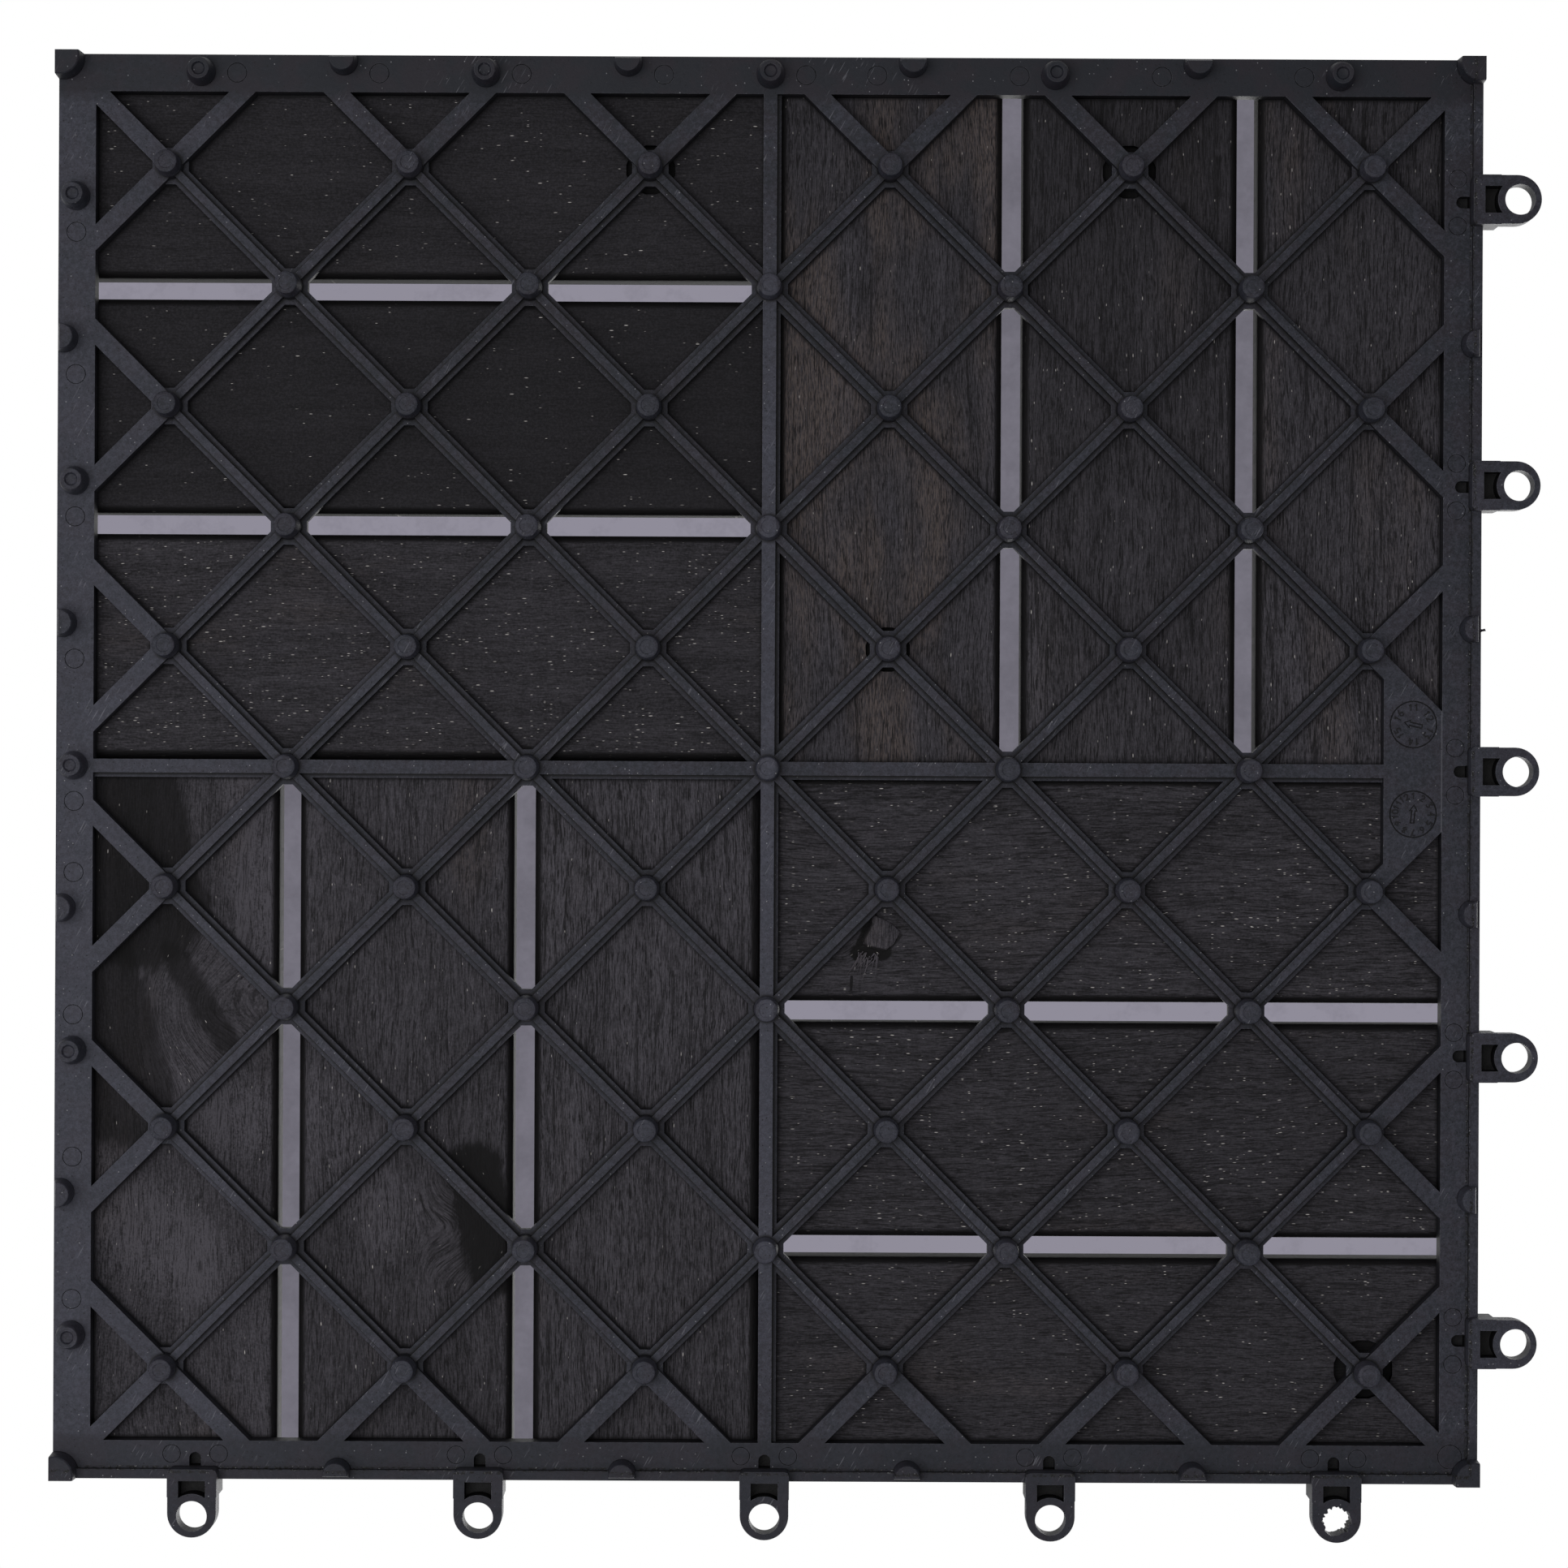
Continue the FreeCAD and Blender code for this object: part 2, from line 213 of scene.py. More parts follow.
class Tree:
    """Adds nodes to a shader or geometry tree."""

    def __init__(self, node_tree):
        self.nodes = node_tree.nodes
        self.links = node_tree.links

    def node(self, kind, settings=None, sockets=None):
        """One node: its settings first, then values or links for its sockets."""
        made = self.nodes.new(kind)
        for key, item in (settings or {}).items():
            if key == "stops":
                ramp = made.color_ramp
                while len(ramp.elements) < len(item):
                    ramp.elements.new(0.5)
                for element, (place, shade) in zip(ramp.elements, item):
                    element.position = place
                    element.color = shade
            else:
                setattr(made, key, item)
        for key, item in (sockets or {}).items():
            socket = made.inputs[key]
            if isinstance(item, Value):
                self.links.new(item.socket, socket)
            elif isinstance(item, bpy.types.NodeSocket):
                self.links.new(item, socket)
            else:
                socket.default_value = item
        return Made(self, made)

    def mix(self, factor, first, second):
        """A colour between two colours."""
        settings = {"data_type": "RGBA"}
        pale = [item if not isinstance(item, tuple) else item + (1.0,) for item in (first, second)]
        return self.node("ShaderNodeMix", settings, {0: factor, 6: pale[0], 7: pale[1]}).out(2)

    def vector(self, x, y, z):
        return self.node("ShaderNodeCombineXYZ", None, {0: x, 1: y, 2: z}).out()

    def noise(self, vector, scale, detail=2.0, roughness=0.5):
        sockets = {"Vector": vector, "Scale": scale, "Detail": detail, "Roughness": roughness}
        return self.node("ShaderNodeTexNoise", None, sockets).value()

    def cells(self, vector, scale):
        """A random grid: the distance from a cell's middle, and a number drawn for the cell."""
        made = self.node("ShaderNodeTexVoronoi", None, {"Vector": vector, "Scale": scale})
        return made.value("Distance"), self.node("ShaderNodeSeparateColor", None, {0: made.out("Color")}).value(0)

    def specks(self, vector, scale, size, share):
        """1 on small scattered spots: one in a share of the cells of a random grid."""
        distance, drawn = self.cells(vector, scale)
        return distance.step(size * 1.5, size * 0.7) * drawn.step(1.0 - share, 1.02 - share)

    def unshaded(self, reach):
        """How open the surface is to its surroundings within the reach: 1 on open faces; used to paint shade in
        hollows.
        """
        sockets = {"Distance": reach * MM}
        ao = self.node("ShaderNodeAmbientOcclusion", {"samples": 4}, sockets).value("AO")
        return ((ao - 0.42) / 0.5).most(0.0).least(1.0)


def new_material(name):
    """An empty material with its tree."""
    material = bpy.data.materials.new(name)
    material.use_nodes = True
    material.node_tree.nodes.clear()
    return material, Tree(material.node_tree)


def millimetres(tree):
    """Object coordinates in millimetres, as a vector and as X, Y and Z."""
    place = tree.node("ShaderNodeTexCoord").out("Object")
    scaled = tree.node("ShaderNodeVectorMath", {"operation": "SCALE"}, {0: place, "Scale": 1000.0}).out()
    parts = tree.node("ShaderNodeSeparateXYZ", None, {0: scaled})
    return scaled, parts.value(0), parts.value(1), parts.value(2)


def rounded_normal(tree, radius):
    """The surface direction as if every sharp edge had a small rounding."""
    return tree.node("ShaderNodeBevel", {"samples": 4}, {"Radius": radius * MM}).out()


def edge_highlight_and_wear(tree, rounded):
    """1 along sharp edges and 0 on the open faces, from the rounded surface direction: where painted highlights and
    wear go.
    """
    true = tree.node("ShaderNodeNewGeometry").out("Normal")
    return 1.0 - tree.node("ShaderNodeVectorMath", {"operation": "DOT_PRODUCT"}, {0: rounded, 1: true}).value("Value")


def rib_distances(x, y):
    """How far a spot is from the nearest diagonal, node and crossing rib, middle to middle."""
    n = base_numbers()
    turn = math.sqrt(0.5)
    half = n["step"] * turn
    falling = ((x + y) * turn).math("PINGPONG", half)
    rising = ((x - y) * turn).math("PINGPONG", half)
    shift = n["centre_ledge"] / 2
    crossing = (x - shift).size().least((y - shift).size())
    return falling.least(rising), (falling * falling + rising * rising).power(0.5), crossing


# Materials

def moulded_plastic(name, hollow):
    """Charcoal plastic with a satin skin, faint paler clouding, pits, dust, scuffs and worn edges with painted
    highlights.
    It carries painted sheen on the -X rim and painted shade on the end rims, towards -Y, beside the ribs, on walls,
    in pockets, round the feet and on the numbers. A hollow piece gets more painted shade where other faces stand
    close."""
    finish = bpy.context.scene.tile_finish
    material, tree = new_material(name)
    place, x, y, z = millimetres(tree)
    tint = tree.noise(place, 0.13, 3.0, 0.6)
    cloud = tree.noise(place, 0.05, 4.0, 0.6)
    mottle = tree.noise(place, 0.9, 3.0, 0.65)
    grit = tree.noise(place, 3.0, 3.0, 0.75)
    body = tree.mix(tint.step(0.42, 0.60), tuple(finish.plastic), tuple(finish.plastic_warm))
    # Painted sheen: the rim and lip grow paler towards -X, where a side light would glint.
    left_sheen = (x * -1.0).step(60.0, 150.0) * z.step(4.0, 6.0) * 0.22
    upright = x.size().step(1.7, 1.3) * y.size().step(135.0, 90.0) * 0.28
    tips = z.step(0.6, 0.35) * 0.04
    # Painted shade: less paler clouding on the rims at both ends of Y, where the side lights give less sheen.
    far_rim_shade = y.size().step(139.0, 143.0)
    # Painted shade: the whole moulding darkens towards -Y, where the light falls off.
    upper_falloff_shade = (y * -1.0).step(-60.0, 140.0) * 0.13
    # Paler clouding from random noise, plus the painted sheen and painted shade above; also paler along the upright
    # centre rib and on the feet's tips.
    bloom_and_painted_light = cloud.step(0.40, 0.75) * 0.14 + mottle.step(0.36, 0.70) * 0.24 + grit.step(0.38, 0.68) * 0.32
    bloom_and_painted_light = ((bloom_and_painted_light + left_sheen + upright + tips) * (1.0 - far_rim_shade * 0.62) - upper_falloff_shade).most(0.0)
    shade = tree.mix(bloom_and_painted_light, body, tuple(finish.plastic_pale_and_sheen))
    rounded = rounded_normal(tree, 0.15)
    edge = edge_highlight_and_wear(tree, rounded).step(0.03, 0.28)
    # Painted highlights with some wear: pale lines along the rounded edges, strongest on the feet's tips.
    shade = tree.mix(edge * (mottle.step(0.36, 0.60) * 0.55 + tips * 6.0 + 0.14), shade, tuple(finish.rubbed_and_highlight))
    seam = (x - 142.1).size().step(0.22, 0.06) * y.size().step(16.0, 15.0)
    shade = tree.mix(seam * 0.25, shade, tuple(finish.rubbed_and_highlight))
    scratches = tree.noise(tree.vector(x * 0.9 + y * 0.5, y * 0.06 - x * 0.03, z), 3.2, 1.0, 0.4).step(0.68, 0.74)
    shade = tree.mix(scratches * cloud.step(0.48, 0.60) * 0.40, shade, tuple(finish.rubbed_and_highlight))
    # Painted shade: a ragged dark line along the step to the lip, with crumbs of dust along it.
    lip = (x.most(y) - 147.9).size().step(0.55, 0.15)
    shade = tree.mix(lip * mottle.step(0.46, 0.54), shade, tuple(finish.black))
    crumbs = lip * mottle.step(0.52, 0.60) * grit.step(0.56, 0.62)
    distance, drawn = tree.cells(place, 1.1)
    dust = (distance.step(0.17, 0.08) * drawn.step(0.86, 0.88) + crumbs).least(1.0)
    shade = tree.mix(dust * 0.6, shade, (0.30, 0.30, 0.32))
    pits = distance.step(0.22, 0.10) * drawn.step(0.36, 0.34)
    shade = tree.mix(pits * 0.8, shade, tuple(finish.black))
    # Painted shade: dark on the walls between the rim and flange heights, on the flange beside the ribs, round the
    # feet, in the pockets and on the numbers' faces.
    n = base_numbers()
    diagonal, node, crossing = rib_distances(x, y)
    inside = 1.0 - x.size().most(y.size()).step(n["half"] - 0.6, n["half"] - 0.3)
    walls = (z - 7.8).size().step(1.18, 0.95).most(z.step(9.05, 9.3)) * inside
    flange = z.step(8.8, 8.95)
    root = (diagonal - n["ridge_width"] / 2).least(crossing - (n["centre_rib_width"] + n["centre_ledge"]) / 2 + 0.9)
    corner = (1.0 - root.step(0.0, 0.85)) * flange * 0.86 + flange * 0.14
    foot = (node - 2.72).step(0.75, 0.0) * z.step(5.6, 6.3) * (x.size().most(y.size())).step(137.0, 134.0) * 0.8
    pocket = (z - 5.8).size().step(0.3, 0.2) + (z - 10.1).size().step(0.3, 0.2)
    digit_shade = (z - 6.34).size().step(0.06, 0.03) * inside * 0.95
    painted_shade = (walls * 0.8).most(corner).most(foot).most(pocket * 0.9).most(digit_shade)
    unshaded = 1.0 - painted_shade.least(1.0)
    # A hollow piece gets more painted shade where other faces stand close, from an occlusion node.
    if hollow:
        unshaded = unshaded * tree.unshaded(4.0)
    shade = tree.mix(1.0 - unshaded, shade, tuple(finish.black))
    height = grit * 0.6 + mottle * 0.8
    normal = tree.node("ShaderNodeBump", None, {"Strength": 0.6, "Distance": 0.00009, "Height": height,
                                               "Normal": rounded}).out()
    skin = tree.node("ShaderNodeBsdfPrincipled", None,
                     {"Base Color": shade, "Roughness": grit * 0.25 + 0.42, "Normal": normal,
                      "IOR": 1.46, "Specular IOR Level": 0.12})
    tree.node("ShaderNodeOutputMaterial", None, {"Surface": skin.out()})
    return material


def stroke(x, y, a, b, width, soft):
    """1 on a straight stroke from a to b with a round end, fading over the soft width."""
    dx, dy = b[0] - a[0], b[1] - a[1]
    span = math.hypot(dx, dy)
    dx, dy = dx / span, dy / span
    px, py = x - a[0], y - a[1]
    along = (px * dx + py * dy).most(0.0).least(span)
    ex, ey = px - along * dx, py - along * dy
    return (ex * ex + ey * ey).power(0.5).step(width / 2 + soft, width / 2)


def stained_wood(name, look, along_y, seed, edges):
    """Stained hardwood with its grain along one slat, painted shade at its sides and by the ribs. edges are the
    slat's two sides from the middle.
    """
    finish = bpy.context.scene.tile_finish
    black = tuple(finish.black)
    material, tree = new_material(name)
    place, x, y, z = millimetres(tree)
    along, across = (y, x) if along_y else (x, y)
    shift = seed * 37.7
    bend = tree.noise(tree.vector(along * 0.010, across * 0.018, shift), 1.0, 2.0, 0.5)
    ripple = tree.noise(tree.vector(along * 0.05, across * 0.09, shift + 2.0), 1.0, 1.0, 0.5)
    wide = across + (bend - 0.5) * look["sway"] + (ripple - 0.5) * 1.5
    for kx, ky, radius, push in look["knots"]:
        near = ((x - kx) * (x - kx) + (y - ky) * (y - ky)).power(0.5).step(radius, 0.0)
        wide = wide + near * push
    figure = tree.noise(tree.vector(along * 0.016, wide * 0.25, shift), 1.0, 3.0, 0.6)
    fibre = tree.noise(tree.vector(along * 0.16, wide * 1.7, z * 1.3 + shift), 1.0, 3.0, 0.7)
    thread = tree.noise(tree.vector(along * 0.55, wide * 4.2, z * 3.4 + shift), 1.0, 2.0, 0.65)
    pebble = tree.noise(place, 1.9, 3.0, 0.75)
    patch = tree.noise(tree.vector(along * 0.016, across * 0.05, shift + 5.0), 1.0, 3.0, 0.55)
    sharp = look["sharp"]
    pale = (figure.step(0.32, 0.70) * 0.20 + fibre.step(0.36, 0.64) * 0.34 * sharp
            + thread.step(0.40, 0.62) * 0.44 * sharp + pebble.step(0.38, 0.66) * (0.72 - 0.52 * sharp))
    pale = pale * ((0.5 - along.size() / 150.0) * look["fade"] + 1.0) * look["tone"]
    for a, b, width, soft, lift in look["lights"]:
        pale = pale * (stroke(x, y, a, b, width, soft) * lift + 1.0)
    shade = tree.mix(pale.least(1.0), tuple(finish.stain), tuple(finish.grain))
    brown = look["brown"]
    heart = patch.step(0.60 - brown * 0.22, 0.80 - brown * 0.22) * (thread.step(0.38, 0.6) * 0.7 + 0.1)
    shade = tree.mix((heart * brown * 1.1).least(0.9), shade, tuple(finish.heart))
    cracks = tree.noise(tree.vector(along * 0.26, wide * 3.6, shift + 9.0), 1.0, 2.0, 0.6)
    ragged = tree.noise(tree.vector(along * 0.16, across * 0.35, shift + 3.0), 1.0, 4.0, 0.7)
    rows = tree.noise(tree.vector(along * 0.045, wide * 1.15, shift + 11.0), 1.0, 3.0, 0.7)
    dark = (cracks.step(0.55, 0.62) + rows.step(0.56, 0.64) * sharp * 0.8).least(1.0) * look["cracks"]
    shade = tree.mix(dark, shade, black)
    underside = z.step(15.0, 12.8)
    # Dark strokes on the underside: dark patches in the stain, and painted shade at the torn hole on the first slat.
    for a, b, width, soft, depth in look["strokes"]:
        blot = (stroke(x, y, a, b, width, soft) + (ragged - 0.5) * 1.5 + (pebble - 0.5) * 0.8).step(0.22, 0.86)
        blot = blot * stroke(x, y, a, b, width, soft * 1.4).step(0.0, 0.25) * underside * depth
        shade = tree.mix(blot, shade, black)
    field = tree.noise(tree.vector(along * 0.03, across * 0.10, shift + 8.0), 1.0, 2.0, 0.5).step(0.40, 0.58)
    grain = tree.vector(along * 0.30, wide * 1.5, shift)
    flecks = look["flecks"]
    mineral = (tree.specks(grain, 1.1, 0.12, flecks * 0.30) * field
               + tree.specks(grain, 2.4, 0.17, flecks * 0.09 + 0.01)).least(1.0)
    shade = tree.mix(mineral * 0.75, shade, tuple(finish.pore))
    # Painted shade: dark near the edges of the bands, bosses, crossing ribs and rim, along the slat's rounded sides
    # beside the slots, and on the slot walls.
    n = base_numbers()
    diagonal, node, crossing = rib_distances(x, y)
    gap = (diagonal - n["band_width"] / 2).least(node - n["boss_width"] * 0.53)
    gap = gap.least(crossing - (n["centre_rib_width"] + n["centre_ledge"]) / 2)
    gap = gap.least(n["inner"] - x.size().most(y.size()))
    corner = gap.step(0.85, -0.2) * z.step(13.5, 12.3) * 0.85
    shadow = (2.6, 1.7) if edges[0] < 5.0 else (1.9, 0.9)
    side = (across.size() - edges[0]).step(*shadow).most((edges[1] - across.size()).step(1.9, 0.9))
    side = side * z.step(19.0, 14.0) * 0.93
    within = (across.size() - edges[0]).least(edges[1] - across.size()).least(147.8 - along.size())
    side = side.most(within.step(0.6, 1.2) * z.step(12.1, 12.6) * z.step(23.2, 22.8) * 0.95)
    shade = tree.mix(1.0 - (1.0 - corner) * (1.0 - side), shade, black)
    ridges = tree.noise(tree.vector(along * 0.35, across * 2.8, z * 1.5 + shift), 1.0, 2.0, 0.65)
    normal = tree.node("ShaderNodeBump", None, {"Strength": 0.6, "Distance": 0.00018, "Height": ridges}).out()
    skin = tree.node("ShaderNodeBsdfPrincipled", None,
                     {"Base Color": shade, "Roughness": fibre * 0.2 + 0.55, "Normal": normal,
                      "IOR": 1.45, "Specular IOR Level": 0.08})
    tree.node("ShaderNodeOutputMaterial", None, {"Surface": skin.out()})
    return material


# Meshes

def flat_bar(ax, ay, bx, by, width):
    """The four corners of a strip between two points."""
    span = math.hypot(bx - ax, by - ay)
    sx = (ay - by) / span * width / 2
    sy = (bx - ax) / span * width / 2
    return [(ax + sx, ay + sy), (ax - sx, ay - sy), (bx - sx, by - sy), (bx + sx, by + sy)]


def disc(x, y, radius, sides=32, first=0.0):
    """The corners of a round outline."""
    turn = 2 * math.pi / sides
    return [(x + radius * math.cos(turn * (k + first)), y + radius * math.sin(turn * (k + first)))
            for k in range(sides)]


def rectangle(x0, y0, x1, y1):
    return [(x0, y0), (x1, y0), (x1, y1), (x0, y1)]


def swapped(points):
    """The outline with X and Y exchanged, kept in the same turning sense."""
    return [(y, x) for x, y in reversed(points)]


def stepped_mesh(name, shapes):
    """A closed mesh from flat outlines. Each shape is (corners, rule, under, top) in millimetres.
    "add" gives material between two heights, "set" moves the underside, "hole" takes all away."""
    corners = []
    outlines = []
    for points, rule, under, top in shapes:
        start = len(corners)
        corners += [Vector(point) for point in points]
        outlines.append(list(range(start, len(corners))))
    spots, _, triangles, _, _, owners = delaunay_2d_cdt(corners, [], outlines, 1, 1e-4, True)
    spans = {}
    for number, owner in enumerate(owners):
        span = None
        for index in sorted(set(owner)):
            _, rule, under, top = shapes[index]
            if rule == "add":
                span = (under, top) if span is None else (min(span[0], under), max(span[1], top))
            elif rule == "set" and span is not None:
                span = (under, span[1])
            elif rule == "hole":
                span = None
                break
        if span is not None:
            spans[number] = span
    heights = {}
    sides = {}
    for number, span in spans.items():
        triangle = triangles[number]
        for k, spot in enumerate(triangle):
            heights.setdefault(spot, set()).update(span)
            after = triangle[(k + 1) % 3]
            sides.setdefault((min(spot, after), max(spot, after)), []).append((number, spot, after))
    mesh = bmesh.new()
    made = {}

    def vertex(spot, height):
        if (spot, height) not in made:
            made[spot, height] = mesh.verts.new((spots[spot][0] * MM, spots[spot][1] * MM, height * MM))
        return made[spot, height]

    def between(spot, low, high):
        return [vertex(spot, height) for height in sorted(heights[spot]) if low <= height <= high]

    for number, (under, top) in spans.items():
        a, b, c = triangles[number]
        mesh.faces.new((vertex(c, under), vertex(b, under), vertex(a, under)))
        mesh.faces.new((vertex(a, top), vertex(b, top), vertex(c, top)))
    for users in sides.values():
        for number, a, b in users:
            own = spans[number]
            others = [spans[other] for other, _, _ in users if other != number]
            walls = [own]
            for low, high in others:
                walls = [part for w in walls for part in ((w[0], min(w[1], low)), (max(w[0], high), w[1]))
                         if part[1] - part[0] > 1e-6]
            for low, high in walls:
                mesh.faces.new(between(a, low, high)[:1] + between(b, low, high)
                               + between(a, low, high)[:0:-1])
    return finished_mesh(name, mesh)


def finished_mesh(name, mesh, smooth=35):
    """Turns a bmesh into mesh data whose curved walls shade smoothly."""
    data = bpy.data.meshes.new(name)
    mesh.to_mesh(data)
    mesh.free()
    smoothed(data, smooth)
    return data


def smoothed(data, degrees=35):
    data.polygons.foreach_set("use_smooth", [True] * len(data.polygons))
    data.set_sharp_from_angle(angle=math.radians(degrees))
    data.update()


def outward(data):
    """Points every face of closed shells outwards."""
    mesh = bmesh.new()
    mesh.from_mesh(data)
    bmesh.ops.remove_doubles(mesh, verts=mesh.verts, dist=1e-7)
    bmesh.ops.recalc_face_normals(mesh, faces=mesh.faces)
    mesh.to_mesh(data)
    mesh.free()


def add_piece(name, data, material, replaced=()):
    """Puts a finished mesh on the tile's body."""
    piece = bpy.data.objects.new(name, data)
    bpy.context.scene.collection.objects.link(piece)
    data.materials.clear()
    data.materials.append(material)
    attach(piece, ROOT)
    if replaced:
        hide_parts(*replaced)
    return piece


def plastic(name="moulded_plastic", hollow=False):
    return bpy.data.materials.get(name) or moulded_plastic(name, hollow)


def lofted(rings):
    """A closed bmesh through rings of equally many corners, each (points, height)."""
    mesh = bmesh.new()
    add_loft(mesh, rings)
    return mesh


def add_loft(mesh, rings):
    loops = [[mesh.verts.new((x * MM, y * MM, z * MM)) for x, y in points] for points, z in rings]
    count = len(loops[0])
    mesh.faces.new(list(reversed(loops[0])))
    mesh.faces.new(loops[-1])
    for low, high in zip(loops, loops[1:]):
        for k in range(count):
            after = (k + 1) % count
            mesh.faces.new((low[k], low[after], high[after], high[k]))


# Where things stand, in millimetres

def base_numbers():
    """The base's sizes in millimetres, with what follows from them."""
    sizes = bpy.context.scene.tile_base
    numbers = {key: getattr(sizes, key) / MM for key in sizes.__annotations__ if key != "node_rows"}
    half = numbers["rim_side"] / 2
    numbers["half"] = half
    numbers["inner"] = half - numbers["rim_width"]
    numbers["reach"] = sizes.node_rows - 1
    numbers["step"] = (half - numbers["corner_node_inset"]) / numbers["reach"]
    return numbers


def node_places(n):
    """Every lattice node as column and row, counted in half pitches."""
    reach = n["reach"]
    return [(column, row) for row in range(-reach, reach + 1) for column in range(-reach, reach + 1)
            if (column + row) % 2 == 0]


def diagonals(n):
    """Each lattice diagonal as its two ends on the rim and its two outermost nodes."""
    lines = []
    for offset in range(-2 * n["reach"], 2 * n["reach"] + 1, 2):
        span = 2 * n["reach"] - abs(offset)
        for way in (1, -1):
            mid_x = offset / 2 * n["step"]
            mid_y = -way * offset / 2 * n["step"]
            to_node = span / 2 * n["step"]
            to_rim = n["half"] - n["rim_width"] / 2 - abs(mid_x)
            ends = [[(mid_x + s * d, mid_y + s * way * d) for s in (-1, 1)] for d in (to_rim, to_node)]
            lines.append(ends)
    return lines


def loop_offsets():
    sizes = bpy.context.scene.tile_loop
    return [(k - (sizes.count - 1) / 2) * sizes.pitch / MM for k in range(sizes.count)]


def lattice_shapes(n):
    """Outlines of the rim, the ribs, the bosses and the spigots."""
    half, inner = n["half"], n["inner"]
    under, flange, top = n["band_under"], n["flange_under"], n["base_top"]
    shapes = []
    for side in (-1, 1):
        low, high = sorted((side * inner, side * half))
        shapes.append((rectangle(low, -half, high, half), "add", under, top))
        shapes.append((rectangle(-half, low, half, high), "add", under, top))
    reach = half - n["rim_width"] / 2
    rib = n["centre_rib_width"]
    ledge = n["centre_ledge"]
    for points, low in ((flat_bar(-reach, 0, reach, 0, rib), under),
                        (flat_bar(-reach, ledge / 2, reach, ledge / 2, rib + ledge), flange)):
        shapes.append((points, "add", low, top))
        shapes.append((swapped(points), "add", low, top))
    for outer, nodes in diagonals(n):
        shapes.append((flat_bar(*outer[0], *outer[1], n["band_width"]), "add", flange, top))
        if nodes[0] != nodes[1]:
            shapes.append((flat_bar(*nodes[0], *nodes[1], n["ridge_width"]), "add", under, top))
        for end, node in zip(outer, nodes):
            shapes.append((flat_bar(*node, *end, n["band_width"]), "add", under, top))
    for column, row in node_places(n):
        x, y = column * n["step"], row * n["step"]
        corner = n["boss_width"] / 2 / math.cos(math.pi / 8)
        shapes.append((disc(x, y, corner, 8, 0.5), "add", flange, top))
    plate_x = inner - 12.3
    low = n["step"] - (plate_x - n["reach"] * n["step"])
    high = n["step"] - (reach - n["reach"] * n["step"])
    shapes.append(([(plate_x, -low), (reach, -high), (reach, high), (plate_x, low)], "add", under, top))
    for quarter in range(4):
        for row in range(n["reach"], -1, -2):
            for column in (n["reach"], 1):
                x, y = column * n["step"], row * n["step"]
                for turn in range(quarter):
                    x, y = -y, x
                shapes.append((flat_bar(x - 3.2, y, x + 3.2, y, 1.7), "add", flange, top + 7.5))
                shapes.append((flat_bar(x, y - 3.2, x, y + 3.2, 1.7), "add", flange, top + 7.5))
    return shapes


def rim_shapes(n):
    """Outlines of the lips, the reliefs behind the loops and the round marks."""
    half, under = n["half"], n["band_under"]
    shapes = []
    lip = rectangle(half - n["lip_width"], -half, half, half)
    shapes.append((lip, "add", n["lip_under"], n["base_top"]))
    shapes.append((swapped(lip), "add", n["lip_under"], n["base_top"]))
    for y in loop_offsets():
        x1 = half - 2.3
        slot = rectangle(half - 4.1, y - 1.25, x1, y + 1.25)
        end = disc(half - 4.1, y, 1.25, 20)
        for points in (slot, end, swapped(slot), swapped(end)):
            shapes.append((points, "set", under + 3.6, 0))
        for side in (-1, 1):
            mark = (half - 5.0, y + side * 4.97)
            shapes += round_mark(*mark, 1.95, under) + round_mark(mark[1], mark[0], 1.95, under)
    for k in range(4):
        for side in (-1, 1):
            along = side * (22.5 + 30 * k)
            for x, y in ((-half + 3.8, along), (along, -half + 3.8)):
                shapes += round_mark(x, y, 2.1, under)
    shapes += round_mark(-half + 3.8, 7.5, 2.1, under) + round_mark(7.5, -half + 3.8, 2.1, under)
    shapes += round_mark(half - 5.5, half - 5.5, 2.6, under)
    return shapes


def round_mark(x, y, radius, under):
    """A moulding mark: a thin sunk ring round a disc that is all but flush."""
    return [(disc(x, y, radius, 28), "set", under + 0.45, 0),
            (disc(x, y, radius - 0.15, 28), "set", under + 0.03, 0)]


def dial_shapes(n):
    """Outlines of the two date dials: a sunk ring, a flush face, and an arrow."""
    under = n["band_under"]
    x = n["inner"] - 6.05
    shapes = []
    for y, turn in ((-9.9, math.radians(193)), (9.0, math.radians(-84))):
        shapes.append((disc(x, y, 5.05, 40), "set", under + 0.60, 0))
        shapes.append((disc(x, y, 4.72, 40), "set", under + 0.04, 0))
        shaft = [(-2.0, -0.52), (0.6, -0.52), (0.6, -1.0), (2.2, 0.0), (0.6, 1.0), (0.6, 0.52), (-2.0, 0.52)]
        core = [(-1.72, -0.18), (0.88, -0.18), (0.88, -0.5), (1.66, 0.0), (0.88, 0.5), (0.88, 0.18),
                (-1.72, 0.18)]
        cos, sin = math.cos(turn), math.sin(turn)
        for points, depth in ((shaft, 0.55), (core, 0.04)):
            placed = [(x + px * cos - py * sin, y + px * sin + py * cos) for px, py in points]
            shapes.append((placed, "set", under + depth, 0))
    return shapes


class TILE_OT_base(bpy.types.Operator):
    """Build the square base with its diagonal ribs, lips, marks and dials"""
    bl_idname = "tile.base"
    bl_label = "Base moulding"

    def execute(self, context):
        n = base_numbers()
        shapes = lattice_shapes(n) + rim_shapes(n) + dial_shapes(n)
        add_piece("base_lattice", stepped_mesh("base_lattice", shapes), plastic(), ["base_grid"])
        return {"FINISHED"}


